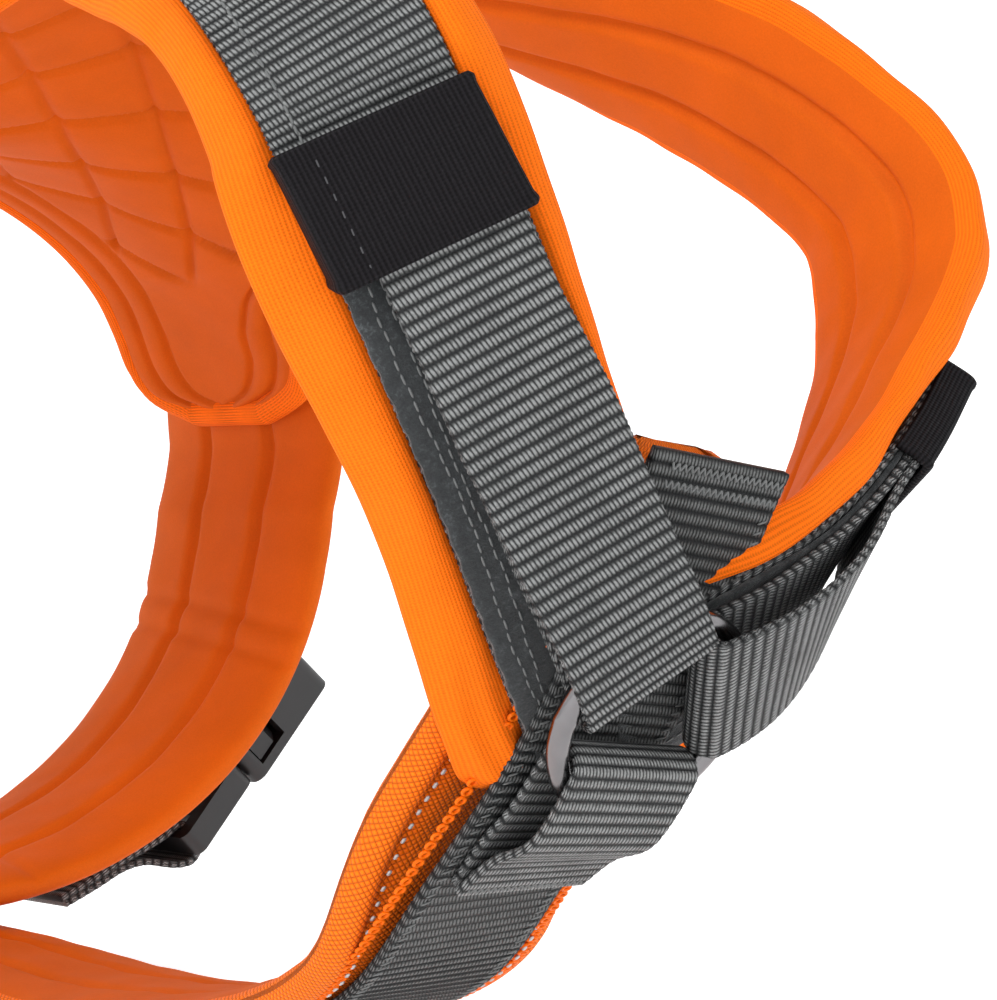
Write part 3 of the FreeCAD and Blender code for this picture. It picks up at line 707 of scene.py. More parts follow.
def make_looks(colors):
    """Every material of the harness, from the user's colours."""
    orange = tuple(colors.orange)
    grey = tuple(colors.webbing)
    LOOKS["knit"] = knit_look("orange_rib_knit", orange)
    # Painted shade: the lining material is the padding orange darkened to 0.8, standing in for the shade on
    # the inner faces.
    LOOKS["lining"] = lining_look("orange_brushed_lining_painted_shade", scaled(orange, 0.8))
    LOOKS["cordura"] = cordura_look("orange_basket_weave", orange)
    LOOKS["mesh"] = mesh_look("orange_spacer_mesh", orange)
    # The last colour given to each webbing look is the painted shade in its rib gaps.
    LOOKS["webbing"] = webbing_look("grey_ribbed_webbing", grey, (0.022, 0.023, 0.024))
    LOOKS["dark_webbing"] = webbing_look("shaded_edge_webbing", scaled(grey, 0.55), (0.015, 0.016, 0.017))
    LOOKS["tape"] = tape_look("dark_loop_tape", (0.035, 0.038, 0.04))
    LOOKS["elastic"] = elastic_look("black_elastic", (0.007, 0.0062, 0.0075))
    LOOKS["thread_grey"] = plain_look("grey_thread", (0.13, 0.135, 0.135), 0.6, 0, 3000, 0.03)
    LOOKS["thread_black"] = plain_look("black_thread", (0.05, 0.05, 0.055), 0.6, 0, 3000, 0.03)
    LOOKS["reflective"] = plain_look("reflective_dash", (0.5, 0.5, 0.5), 0.35, 0.15, 2500, 0.03)
    LOOKS["chrome"] = plain_look("polished_ring", (0.2, 0.195, 0.2), 0.2, 1.0, 700, 0.004)
    LOOKS["plastic"] = plain_look("black_acetal", (0.012, 0.012, 0.013), 0.42, 0, 1500, 0.02)


def own(obj, body, slot, *nodes):
    """Rides a piece on its body and hides the nodes it stands for; the finish name in slot is not used."""
    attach(obj, body)
    if nodes:
        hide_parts(*nodes)
    return obj


# ---- pieces ----
def half_turn(s, n, radius):
    """Points of a fold towards smaller s, from under the middle height n to over it."""
    return [(s - radius * math.sin(a), n - radius * math.cos(a)) for a in np.radians((0, 45, 90, 135, 180))]


def loop_turn(fold_s):
    """Route under the ring's wire, round it and back over it."""
    clear_s = fold_s + 13
    return [(clear_s, -LOOP_R)] + half_turn(fold_s, 0, LOOP_R) + [(clear_s, LOOP_R)]


def flat_route(s0, s1, n, legs=8):
    """Route that stays at one height."""
    return [(s0 + (s1 - s0) * k / legs, n) for k in range(legs + 1)]


def rounded_side(side, s0, s1, radius, tip=0.35):
    """Side distance that draws in towards both ends, as a rounded end does."""

    def at(s):
        f = np.clip(np.minimum(s - s0, s1 - s) / radius, 0, 1)
        return side * (tip + (1 - tip) * np.sqrt(1 - (1 - f) ** 2))

    return at


def grey_strap(name, lane, route, left, right, body=ROOT, **weave):
    """Webbing that stands for the frame's strap of the same name."""
    return own(webbing(name, lane, route, left, right, LOOKS["webbing"], **weave), body, "grey_webbing", name)


def mirrored(outer, inner, neck):
    """Left and right side distances from the outer and the neck-side ones."""
    first, second = (outer, inner) if neck > 0 else (inner, outer)
    return (lambda s, n=None: -first(s, n)), second


def shoulder(side, stations, neck):
    """One shoulder: pad, base webbing, touch tape, adjusting strap, keeper and seams.

    neck is 1 where the dog's neck is on the lane's right, and -1 where it is on its left.
    """
    lane = station_lane(stations)
    end = lane.length - 2
    keeper_s = KEEPER_S[side]
    ring_s = RING_S[side]
    outer, inner = PAD_SIDES
    lo, hi = (-outer, inner) if neck > 0 else (-inner, outer)
    pad_lo = rounded_side(lo, 0, end + 10, 12, 0.55)
    pad_hi = rounded_side(hi, 0, end + 10, 12, 0.55)

    def base_outer(s, n=None):
        return BASE_SIDES[0] - 2.0 + 2.0 * np.clip((np.asarray(s) - 105) / 25, 0, 1)

    def base_inner(s, n=None):
        return BASE_SIDES[1] - 0.2 - 2.7 * np.clip((np.asarray(s) - 103) / 24, 0, 1)

    base_lo, base_hi = mirrored(base_outer, base_inner, neck)

    def plump(s, a, n, q, h):
        gather = np.exp(-(((s - 8) / 24.0) ** 2))
        pleat = 0.45 * np.sin(q * 30 + 0.07 * s + 1.5 * np.sin(0.1 * s)) * gather
        out_lo = np.clip((base_lo(s) - a) / (base_lo(s) - lo), 0, 1)
        out_hi = np.clip((a - base_hi(s)) / (hi - base_hi(s)), 0, 1)
        roll = PUFF * np.sin(np.pi * np.maximum(out_lo, out_hi) ** 0.8)
        slack = 0.9 + 0.35 * np.sin(0.085 * s + 2 * neck) + 0.2 * np.sin(0.21 * s)
        ripple = 0.22 * np.sin(0.36 * s + 5 * q) * np.maximum(out_lo, out_hi)
        squeezed = 1 - 0.45 * np.exp(-(((s - keeper_s - 12) / 10.0) ** 2))
        sway = 1.1 * np.sin(0.062 * s + 0.9) * np.maximum(out_lo, out_hi) * np.sign(q)
        width = np.abs(h) ** 0.5
        lift = np.where(h > 0, roll * slack * squeezed * width + pleat + ripple, 0.5 * ripple)
        return a + sway, n + lift * np.clip((s - 2) / 8, 0, 1)

    body = pad(
        "shoulder_pad_" + side, lane.place, 3, end, pad_lo, pad_hi, SHOULDER_PAD_N, SHOULDER_PAD_T,
        LOOKS["knit"], seed=neck, seams=(-0.36, 0.36), seam_depth=2.3, swell=1.3, extra=plump,
        step=1.0, cols=128, power=2.7,
    )
    paint_lining(body, 128)
    own(body, ROOT, "orange_knit", "shoulder_pad_" + side)

    grey_strap(
        "shoulder_base_webbing_" + side, lane, flat_route(4, end, SHOULDER_BASE_N, 16), base_lo, base_hi,
        cols=24, pitch=2.6, rib=0.34,
    )
    top = SHOULDER_BASE_N + WEBBING_T / 2

    def inset(s, by):
        return base_lo(s) + by if neck > 0 else base_hi(s) - by

    lane_seam(
        "shoulder_edge_seam_" + side, lane, keeper_s + 20, end - 2, lambda s: inset(s, 4.6), top - 0.05,
        LOOKS["thread_grey"], 2.6, width=0.3, height=0.2, length=1.7,
    )

    def tape_outer(s, n):
        return base_outer(s) + 0.2

    def tape_inner(s, n):
        return np.full(len(s), TAPE_SIDES[1] - 0.8)

    lo, hi = mirrored(tape_outer, tape_inner, neck)
    tape = webbing(
        "shoulder_touch_tape_" + side, lane, flat_route(ring_s - 4, keeper_s + 14, TAPE_N, 12),
        lo, hi, LOOKS["tape"], thickness=TAPE_T, pitch=1.1, rib=0.1, cols=24, step=0.5,
    )
    own(tape, ROOT, "dark_webbing", "shoulder_touch_tape_" + side)
    for k, by in enumerate((3.2, 5.4)):
        lane_seam(
            "touch_tape_seam_%d_%s" % (k, side), lane, ring_s - 2, keeper_s - 2,
            lambda s, by=by, k=k: inset(s, by) + 0.45 * np.sin(0.13 * s + 2 * k) + 0.2 * np.sin(0.7 * s),
            TAPE_N + TAPE_T / 2 + 0.02, LOOKS["thread_grey"], 2.5, "dark_webbing", width=0.24, height=0.2,
            length=1.9,
        )

    def outer_edge(s, n):
        near = np.clip((s - 20) / 70, 0, 1)
        hidden = np.clip((-1.5 - n) / 1.5, 0, 1) * 1.2
        return ADJUST_SIDES[0] - 1.7 + 2.4 * near - hidden

    def neck_edge(s, n):
        near = np.clip((s - 20) / 70, 0, 1)
        return ADJUST_SIDES[1] + 0.9 - 1.3 * near - np.clip((-1.5 - n) / 1.5, 0, 1) * 0.8

    lo, hi = mirrored(outer_edge, neck_edge, neck)
    route = [(84, ADJUST_INNER_N), (56, ADJUST_INNER_N), (45, ADJUST_INNER_N + 0.6)]
    route += loop_turn(ring_s + LOOP_FOLD_S)
    route += [(52, 0.4), (keeper_s - 8, ADJUST_OUTER_N + 0.3), (keeper_s + 5, ADJUST_OUTER_N)]
    route += [(keeper_s + 18, ADJUST_OUTER_N)]
    grey_strap("shoulder_adjust_strap_" + side, lane, route, lo, hi, step=0.29, cols=24, fold=True)
    own(keeper(side, lane, keeper_s, base_lo, base_hi), ROOT, "black_elastic", "shoulder_keeper_" + side)
    lane_seam(
        "keeper_seam_" + side, lane, keeper_s + 2, keeper_s + KEEPER_LENGTH - 1.5, lambda s: inset(s, 4.5),
        ADJUST_OUTER_N + WEBBING_T / 2 + 0.25 + KEEPER_T, LOOKS["thread_black"], 3.0, "black_elastic",
        width=0.22, height=0.2, length=1.5,
    )


def paint_lining(obj, cols):
    """Gives the faces on the lining side, but not the two end caps, the second material."""
    count = len(obj.data.polygons)
    column = np.arange(count) % cols
    inner = (column > cols * LINING_SHARE[0]) & (column < cols * LINING_SHARE[1])
    index = np.where(inner, 1, 0).astype(np.int32)
    index[-2:] = 0
    obj.data.materials.append(LOOKS["lining"])
    obj.data.polygons.foreach_set("material_index", index)


def keeper(side, lane, keeper_s, lo, hi):
    """Elastic band: a section that rises, crosses the strap and comes down, with rolled rims."""
    top = ADJUST_OUTER_N + WEBBING_T / 2 + 0.3
    foot = SHOULDER_PAD_N + SHOULDER_PAD_T / 2 + LAYER_GAP
    rows = 96
    s = np.linspace(keeper_s, keeper_s + KEEPER_LENGTH, rows)
    away = np.minimum(s - s[0], s[-1] - s)
    rim = 0.3 * np.exp(-(((away - 0.9) / 0.8) ** 2)) - 0.3 * np.clip(1 - away / 0.6, 0, 1)
    cols = 120
    t = np.linspace(0, 1, cols)
    rise = top + KEEPER_T - foot
    kernel = np.hanning(17)[1:-1]
    kernel = kernel / kernel.sum()

    def rounded(values):
        return np.convolve(np.pad(values, 7, "edge"), kernel, "valid")

    share = rounded(np.clip((t - 0.1) / 0.8, 0, 1))
    path_n = rounded(foot + rise * np.clip(np.minimum(t, 1 - t) / 0.1, 0, 1))
    outer_lo, outer_hi = lo(s) - 0.2 - KEEPER_T, hi(s) + 0.2 + KEEPER_T
    path_a = outer_lo[:, None] + (outer_hi - outer_lo)[:, None] * share
    path_n = path_n[None, :] + 0 * path_a
    d_a, d_n = np.gradient(path_a, axis=1), np.gradient(path_n, axis=1)
    size = np.hypot(d_a, d_n)
    out_a, out_n = -d_n / size, d_a / size
    girth_run = np.cumsum(size.mean(0))
    rib = 0.1 * np.abs(np.sin(np.pi * girth_run / 0.87))
    lift = rim[:, None] + rib[None, :] * np.clip(away / 1.5, 0, 1)[:, None]
    under = KEEPER_T - 0.2
    a = np.concatenate([path_a + out_a * lift, (path_a - out_a * under)[:, ::-1]], 1)
    n = np.concatenate([path_n + out_n * lift, (path_n - out_n * under)[:, ::-1]], 1)
    s_grid = np.broadcast_to(s[:, None], a.shape)
    u = np.concatenate([girth_run, girth_run[::-1]])
    uv = np.stack([np.broadcast_to(u, a.shape), s_grid], -1)
    obj = skin("shoulder_keeper_" + side, lane.place(s_grid, a, n), uv)
    obj.data.materials.append(LOOKS["elastic"])
    return obj


def chest():
    """Chest pad with its trims, the webbing on it, the ring and the sewn loop."""
    lane = station_lane(CHEST)
    s_ring = RING_S["chest"]
    end = lane.length - 1
    keys = [0, 20, s_ring, s_ring + 22, s_ring + 42, s_ring + 70, s_ring + 95, end + 30]
    levels = [CHEST_PAD_TOP_N] * 4 + [CHEST_PAD_TOP_N + 1, CHEST_PAD_BELLY_N - 1]
    levels += [CHEST_PAD_BELLY_N] * 2

    def middle(s):
        ahead = np.interp(s + 6, keys, levels)
        behind = np.interp(s - 6, keys, levels)
        return (ahead + behind + 2 * np.interp(s, keys, levels)) / 4

    side = rounded_side(CHEST_PAD_HALF, -1, end + 8, 22, 0.4)

    def rolled(s, a, n, q, h):
        rim = 1.5 * np.exp(-(((np.abs(q) - 0.86) * CHEST_PAD_HALF / 2.6) ** 2))
        valley = 1.2 * np.exp(-(((np.abs(q) - 0.72) * CHEST_PAD_HALF / 1.6) ** 2))
        return a, n + np.where(h > 0, rim - valley, 0)

    body = pad(
        "chest_pad", lane.place, 0, end, lambda s: -side(s), side, middle, CHEST_PAD_T, LOOKS["cordura"],
        seed=2.0, seams=(-0.34, 0.34), swell=0.6, step=1.2, cols=120, power=2.8, extra=rolled,
    )
    paint_lining(body, 120)
    own(body, ROOT, "orange_cordura", "chest_pad")
    left, right = CHEST_WEBBING_SIDES
    strap = webbing(
        "chest_webbing", lane, flat_route(-3, end, CHEST_WEBBING_N, 20), -left, right, LOOKS["dark_webbing"],
        cols=24, pitch=2.3,
    )
    own(strap, ROOT, "grey_webbing", "chest_webbing")
    bar_tacks("chest_end_tack", lane, -1.5, 3.5, 13.5, CHEST_WEBBING_N + WEBBING_T / 2 + 0.02, 0.9)
    fold_s = s_ring + LOOP_FOLD_S
    under = CHEST_WEBBING_N + WEBBING_T + LAYER_GAP
    over = under + WEBBING_T + LAYER_GAP
    route = [(fold_s + 32, under), (fold_s + 22, under)] + loop_turn(fold_s)
    route += [(fold_s + 22, over + 2.4), (fold_s + 32, over)]
    grey_strap(
        "chest_ring_loop", lane, route, -CHEST_LOOP_HALF, CHEST_LOOP_HALF, step=0.29, cols=24, fold=True
    )
    bar_tacks("chest_loop_tack", lane, fold_s + 29, fold_s + 32, 13, over + WEBBING_T / 2 + 0.02)
    for sign in (-1, 1):
        name = "left" if sign < 0 else "right"
        lane_seam(
            "reflective_dashes_" + name, lane, 22, end - 20, lambda s: sign * (side(s) - 5.8),
            lambda s: middle(s) + CHEST_PAD_T / 2 + 0.35, LOOKS["reflective"], 3.1,
            "reflective_thread", length=1.4, width=0.5, height=0.3,
        )
        chain = ring_chain(
            "mesh_strip_" + name, lane, np.arange(20, end - 16, 2.1), sign * (CHEST_WEBBING_SIDES[1] + 2.3),
            lambda s: np.maximum(middle(s) + CHEST_PAD_T / 2 - 0.1, CHEST_WEBBING_N - 2.6),
        )
        own(chain, ROOT, "orange_cordura")
        edge = right - 1.6 if sign > 0 else -left + 1.6
        lane_seam(
            "chest_edge_seam_" + name, lane, 6, end - 3, edge, CHEST_WEBBING_N + WEBBING_T / 2 + 0.02,
            LOOKS["thread_grey"], 1.9, slant=2.2, width=0.24, height=0.22, length=2.0,
        )
    chest_ring()


def ring_chain(name, lane, s, a, n):
    """Row of small yarn rings lying flat, side by side along a lane: small tori."""
    around = np.linspace(0, 2 * np.pi, 12, endpoint=False)
    section = np.linspace(0, 2 * np.pi, 6, endpoint=False)
    big = 0.72 + 0.32 * np.cos(section)
    lift = 0.32 * np.sin(section)
    ring_s = s[:, None, None] + np.cos(around)[None, :, None] * big
    ring_a = a + np.sin(around)[None, :, None] * big * 1.25 + 0 * ring_s
    ring_n = n(s)[:, None, None] + lift + 0.25 + 0 * ring_s
    grid = lane.place(ring_s, ring_a, ring_n)
    one = np.array(ring_faces(12, 6))
    faces = (one[None] + (np.arange(len(s)) * 72)[:, None, None]).reshape(-1, 4)
    obj = make_object(name, grid.reshape(-1, 3), faces.tolist())
    face_outward(obj)
    obj.data.materials.append(LOOKS["mesh"])
    return obj


def chest_ring():
    """Welded ring: a torus with a slight swell where the wire is joined."""
    normal = unit(RING_NORMAL)
    one = np.array((1.0, 0.0, 0.0))
    two = np.cross(normal, one)
    turn = np.linspace(0, 2 * np.pi, 160, endpoint=False)
    path = RING_CENTRE + RING_R * (np.cos(turn)[:, None] * one + np.sin(turn)[:, None] * two)
    radial = unit(path - RING_CENTRE)
    sides = np.linspace(0, 2 * np.pi, 32, endpoint=False)
    weld = 0.16 * np.exp(-(((turn - np.pi) / 0.05) ** 2))
    radius = RING_WIRE_R + weld
    grid = path[:, None] + radius[:, None, None] * (
        np.cos(sides)[None, :, None] * radial[:, None] + np.sin(sides)[None, :, None] * normal
    )
    ring = make_object("chest_ring_polished", grid.reshape(-1, 3), ring_faces(len(path), len(sides)))
    face_outward(ring)
    ring.data.materials.append(LOOKS["chrome"])
    own(ring, "chest_ring", "polished_ring", "chest_ring")


def girth():
    """Belly pad in three sewn lobes, and the webbing from it to each buckle."""
    lane = body_lane((GIRTH_PAD_ANGLES[0], 0), (GIRTH_PAD_ANGLES[1], 0), 320)
    full = lane.length
    lifted = LINING_T + SHELL_T + 3 * LAYER_GAP + GIRTH_PAD_T / 2
    rest = GIRTH_PAD_T / 2
    keys = [2, 10, 20, 34, 46]
    levels = [lifted, lifted, lifted - 1, rest + 1, rest]

    def middle(s):
        return np.interp(np.minimum(s, full - s), keys, levels)

    side = rounded_side(GIRTH_PAD_HALF, 0, full, 18, 0.5)

    def rear_side(s):
        return -side(s) * REAR_FULLNESS

    def front_side(s):
        return side(s) * FRONT_FULLNESS

    def creases(s, a, n, q, h):
        fold = np.zeros_like(s)
        for at in (58, 66, full - 61, full - 70, full / 2 - 24, full / 2 + 30):
            fold += 0.9 * np.exp(-(((s - at - 4 * q) / 1.6) ** 2))
        return a, n + np.where(h < 0, fold, 0)

    body = pad(
        "girth_pad", lane.place, 1, full - 1, rear_side, front_side, middle, GIRTH_PAD_T, LOOKS["lining"],
        seed=4.0, seams=(-0.36, 0.36), seam_depth=2.6, swell=1.5, extra=creases, step=1.4, cols=112,
    )
    own(body, ROOT, "orange_lining", "girth_pad")
    over = GIRTH_PAD_T + LAYER_GAP + WEBBING_T / 2
    for name, turn in (("left", 1), ("right", -1)):
        strap_lane = body_lane((turn * 112, 0), (turn * 160, 0), 120)
        grey_strap(
            "girth_webbing_" + name, strap_lane, flat_route(0.5, strap_lane.length, over),
            -GIRTH_WEBBING_HALF, GIRTH_WEBBING_HALF, cols=18,
        )


# Saddle outline: angle round the body, then where its front and rear edges are along the back.
SADDLE_FRONT = [
    (0, -150), (16, -148), (32, -138), (42, -112), (51, -60), (58, -43), (65, -38), (70, -31), (74, -14),
]
SADDLE_REAR = [(0, 22), (16, 22), (32, 23), (42, 24), (51, 26), (58, 29), (65, 31), (70, 27), (74, 12)]
SADDLE_TIP = 74.0


def key_curve(keys, x):
    """Smooth value at x between (x, value) keys."""
    keys = np.asarray(keys, float)
    t = np.interp(np.abs(x), keys[:, 0], np.arange(len(keys)))
    return catmull(keys[:, 1:], np.ravel(t))[:, 0].reshape(np.shape(x))


def saddle_front(angle):
    """Where the saddle's front edge is at an angle round the body."""
    return key_curve(SADDLE_FRONT, angle)


def saddle_rear(angle):
    """Where the saddle's rear edge is at an angle round the body."""
    return key_curve(SADDLE_REAR, angle)


def to_nearest(value, pitch):
    """Distance to the nearest whole number of pitches."""
    return np.abs(value / pitch - np.round(value / pitch)) * pitch


def saddle():
    """Saddle: quilted lining, woven shell with bound edge, handle and rear ring."""

    def quilt(s, a, n, q, h):
        inner = h < 0
        x = s * 1.5
        one = to_nearest(x + a, QUILT_PITCH)
        two = to_nearest(x - a, QUILT_PITCH)
        groove = np.exp(-((one / 1.3) ** 2)) + np.exp(-((two / 1.3) ** 2))
        cushion = 1 - np.exp(-((one / 6) ** 2)) + 1 - np.exp(-((two / 6) ** 2))
        half = (saddle_rear(s) - saddle_front(s)) / 2
        rim = (1 - np.abs(q)) * half
        inside = np.clip((rim - 21) / 2, 0, 1) * np.clip((50 - np.abs(s)) / 3, 0, 1)
        seams = np.exp(-(((rim - 19) / 1.2) ** 2)) + np.exp(-(((rim - 9.5) / 1.2) ** 2))
        lobes = np.sin(np.pi * np.clip(rim / 9.5, 0, 2)) ** 2
        depth = inside * (1.3 * groove - 0.5 * cushion) + 1.2 * seams - 0.6 * lobes * (1 - inside)
        return a, n + np.where(inner, depth, 0)

    lining = pad(
        "saddle_lining", body_place, -SADDLE_TIP, SADDLE_TIP, saddle_front, saddle_rear,
        LINING_T / 2, LINING_T, LOOKS["lining"], seed=6.0, extra=quilt, step=0.5, cols=280, end=5.0, power=4,
    )
    own(lining, ROOT, "orange_lining", "saddle_lining")
    shell_n = LINING_T + LAYER_GAP + SHELL_T / 2

    def crown(s, a, n, q, h):
        return a, n + np.where(h > 0, 0.5 * (1 - q**6), 0)

    shell = pad(
        "saddle_shell", body_place, 0.5 - SADDLE_TIP, SADDLE_TIP - 0.5, lambda s: saddle_front(s) + 1,
        lambda s: saddle_rear(s) - 1, shell_n, SHELL_T, LOOKS["cordura"], seed=7.0, extra=crown, step=0.6,
        cols=160, end=2.5, power=4,
    )
    stretch_weave(shell, 1.5)
    own(shell, ROOT, "orange_cordura", "saddle_shell")
    saddle_binding()
    top = LINING_T + SHELL_T + 2 * LAYER_GAP
    lane = body_lane((0, 18), (0, -142), 240)
    grey_strap(
        "saddle_spine_webbing", lane, flat_route(1, lane.length - 1, top + WEBBING_T / 2, 12),
        -SPINE_HALF, SPINE_HALF, cols=26,
    )
    for sign in (-1, 1):
        lane_seam(
            "spine_seam_%s" % ("left" if sign < 0 else "right"), lane, 4, lane.length - 4,
            sign * (SPINE_HALF - 2.2), top + WEBBING_T + 0.02, LOOKS["thread_grey"], 2.6, width=0.3,
            height=0.2, length=1.8,
        )
    n = top + WEBBING_T + LAYER_GAP + HANDLE_T / 2
    lifts = [(42, 0), (52, 1), (60, 9), (70, 18), (88, 22), (106, 18), (116, 9), (124, 1), (134, 0)]
    route = [(s, n + lift) for s, lift in lifts]
    grey_strap("grab_handle", lane, route, -HANDLE_HALF, HANDLE_HALF, thickness=HANDLE_T, cols=22)
    for k, (s0, s1) in enumerate(((42.5, 52), (124, 133.5))):
        bar_tacks("handle_tack_%d" % k, lane, s0, s1, 11.0, n + 1.55)
    rear_ring(lane, top + WEBBING_T + LAYER_GAP)


def bar_tacks(name, lane, s0, s1, half, n, inset=1.0):
    """Zigzag rows of dense stitches that hold a strap's end down."""
    rows = np.linspace(s0 + inset, s1 - inset, max(int((s1 - s0) / 3), 2))
    a = np.arange(-half, half, 0.75)
    s_grid, a_grid = np.meshgrid(rows, a, indexing="ij")
    zig = np.where(np.arange(a_grid.size) % 2 == 0, 1.0, -1.0).reshape(a_grid.shape)
    s, side = s_grid.ravel(), a_grid.ravel()
    high = np.full(s.shape, float(n))
    here = lane.place(s, side, high)
    lean = zig.ravel()
    ahead = unit(lane.place(s + 0.5, side + 0.25 * lean, high) - here)
    outs = unit(lane.place(s, side, high + 1) - here)
    obj = stitches(name, here, outs, ahead, LOOKS["thread_grey"], length=1.7, width=0.3, height=0.25)
    own(obj, ROOT, "grey_webbing")


def stretch_weave(obj, along):
    """Scales the cloth coordinates along a piece whose lane runs in degrees, not millimetres."""
    layer = obj.data.uv_layers["cloth_mm"]
    values = np.empty(len(layer.data) * 2)
    layer.data.foreach_get("uv", values)
    layer.data.foreach_set("uv", (values.reshape(-1, 2) * (1.0, along)).ravel())


def saddle_binding():
    """Folded binding round the saddle's rim, made as a round tube along both edges and tips."""
    angle = np.linspace(0.3 - SADDLE_TIP, SADDLE_TIP - 0.3, 220)
    middle = (LINING_T + SHELL_T) / 2
    front = body_place(angle, saddle_front(angle) + 0.6, np.full(220, middle))
    rear = body_place(angle[::-1], saddle_rear(angle[::-1]) - 0.6, np.full(220, middle))
    path = np.concatenate([front, rear])
    binding = closed_tube("saddle_binding", path, 3.6, LOOKS["knit"], 16)
    own(binding, ROOT, "orange_knit")


def rear_ring(lane, floor_n):
    """Rear ring's webbing loop; the ring itself is the frame's own part."""
    n = floor_n + REAR_WIRE_R + WEBBING_T + 0.9
    turn_r = REAR_WIRE_R + 0.4 + WEBBING_T / 2
    low = floor_n + WEBBING_T / 2
    route = [(REAR_RING_S + 10, low), (REAR_RING_S + 5, low)]
    route += half_turn(REAR_RING_S, n, turn_r)
    route += [(REAR_RING_S + 4, n + turn_r - 1.0), (REAR_RING_S + 10, low + WEBBING_T + LAYER_GAP)]
    grey_strap("rear_ring_loop", lane, route, -REAR_LOOP_HALF, REAR_LOOP_HALF, cols=16)
    dress("rear_leash_ring", LOOKS["chrome"])


def dress(node, look):
    """Gives a carried-over frame part its finish."""
    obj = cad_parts[node]
    obj.data.materials.clear()
    obj.data.materials.append(look)


def side_webbing(side, turn):
    """Webbing from the spine over the saddle and the pad's end to the buckle socket."""
    first, last = SIDE_WEBBING_ANGLES
    lane = body_lane((turn * first, 0), (turn * last, 0), 240)
    on_saddle = LINING_T + SHELL_T + 2 * LAYER_GAP + WEBBING_T / 2
    on_pad = on_saddle + GIRTH_PAD_T + LAYER_GAP + 0.3
    degree = lane.length / (last - first)
    route = flat_route(0, 36 * degree, on_saddle, 5)
    route += [(46 * degree, on_saddle + 3.0), (52 * degree, on_pad), (64 * degree, on_pad)]
    route += [(74 * degree, 13.5), (84 * degree, 13.0), (94 * degree, 13.0)]
    grey_strap("saddle_side_webbing_" + side, lane, route, -GIRTH_WEBBING_HALF, GIRTH_WEBBING_HALF, cols=18)


def buckle(side, turn):
    """Buckle halves and prongs in black acetal, and the webbing round the plug."""
    for node in ("buckle_socket_", "buckle_plug_", "buckle_prong_front_", "buckle_prong_rear_"):
        dress(node + side, LOOKS["plastic"])
    angle = turn * BUCKLE_ANGLE
    base = body_place(angle, 0.0, 0.0)
    out = unit(body_place(angle, 0.0, 1.0) - base)
    ahead = unit(body_point(angle + turn, 0.0) - base)
    ahead = unit(ahead - out * (ahead @ out))
    centre = base + out * (BUCKLE_CLEAR + BUCKLE_T / 2)
    steps = np.linspace(0, 60, 21)
    lane = Lane(centre + ahead * steps[:, None], np.tile(out, (21, 1)))
    turn_n = PLUG_T / 2 + 0.5 + WEBBING_T / 2
    over = [(0, 0), (0.5, turn_n - 1.1), (2.6, turn_n), (5.6, turn_n - 0.2), (9, 1), (13, -5.4)]
    over += [(18, -9.6), (25.5, -13), (33.5, -16.9)]
    under = [(0.5, 1.1 - turn_n), (2.6, -turn_n), (5.6, -turn_n - 0.9), (10.5, -7.6), (18, -11.4)]
    under += [(25.5, -14.8), (33.5, -18.7)]
    route = [(PLUG_SLOT_S + s, n) for s, n in under[::-1] + over]
    grey_strap(
        "buckle_strap_" + side, lane, route, -GIRTH_WEBBING_HALF, GIRTH_WEBBING_HALF,
        body="buckle_plug_" + side, cols=18,
    )


# ---- stage ----
CAMERA_AT = (-0.3911, -0.6778, -0.0778)
CAMERA_TURN = -40.0
LENS = 125.3
FLOOR_DROP = 0.004
FLOOR_GLOW = 0.6
FLOOR_R = 2.2
BEND_R = 0.5
WALL_TOP = 1.4
FLOOR_SIDES = 96
HARNESS_MIDDLE = (0, -0.15, -0.08)


def stage():
    """Plain pale floor that curves up into a round backdrop, soft lights and the camera."""
    low = CAD_BOX[0][2] - FLOOR_DROP
    bend = np.linspace(0, np.pi / 2, 16)
    wall_r = FLOOR_R + BEND_R
    radius = np.concatenate([np.linspace(0.02, 2.1, 20), FLOOR_R + BEND_R * np.sin(bend), [wall_r, wall_r]])
    height = np.concatenate([np.zeros(20), BEND_R * (1 - np.cos(bend)), [0.9, WALL_TOP]])
    around = np.linspace(0, 2 * np.pi, FLOOR_SIDES, endpoint=False)
    grid = np.stack([
        radius[:, None] * np.cos(around)[None, :],
        radius[:, None] * np.sin(around)[None, :],
        (low + height)[:, None] + 0 * around[None, :],
    ], -1)
    faces = [face[::-1] for face in tube_faces(len(radius), FLOOR_SIDES, False)]
    faces.append(list(range(FLOOR_SIDES)))
    floor = make_object("studio_sweep", grid.reshape(-1, 3) / MM, faces)
    look = Look("pale_paper", 0.9)
    look.shader.inputs["Base Color"].default_value = (0.9, 0.9, 0.9, 1)
    look.shader.inputs["Emission Color"].default_value = (1, 1, 1, 1)
    look.shader.inputs["Emission Strength"].default_value = FLOOR_GLOW
    floor.data.materials.append(look.material)
    dim_studio()
    add_light("key_softbox", (-1.0, -0.45, 0.6), 0.45, 8.5)
    add_light("top_softbox", (-0.1, 0.1, 1.1), 0.8, 4.5)
    add_light("neck_softbox", (0.8, -0.9, 0.5), 0.4, 2.6)
    data = bpy.data.cameras.new("view")
    data.lens = LENS
    data.clip_start = 0.01
    camera = bpy.data.objects.new("view", data)
    camera.location = CAMERA_AT
    camera.rotation_euler = (math.radians(90), 0, math.radians(CAMERA_TURN))
    bpy.context.scene.collection.objects.link(camera)
    bpy.context.scene.camera = camera
    bpy.context.scene.view_settings.view_transform = "Standard"


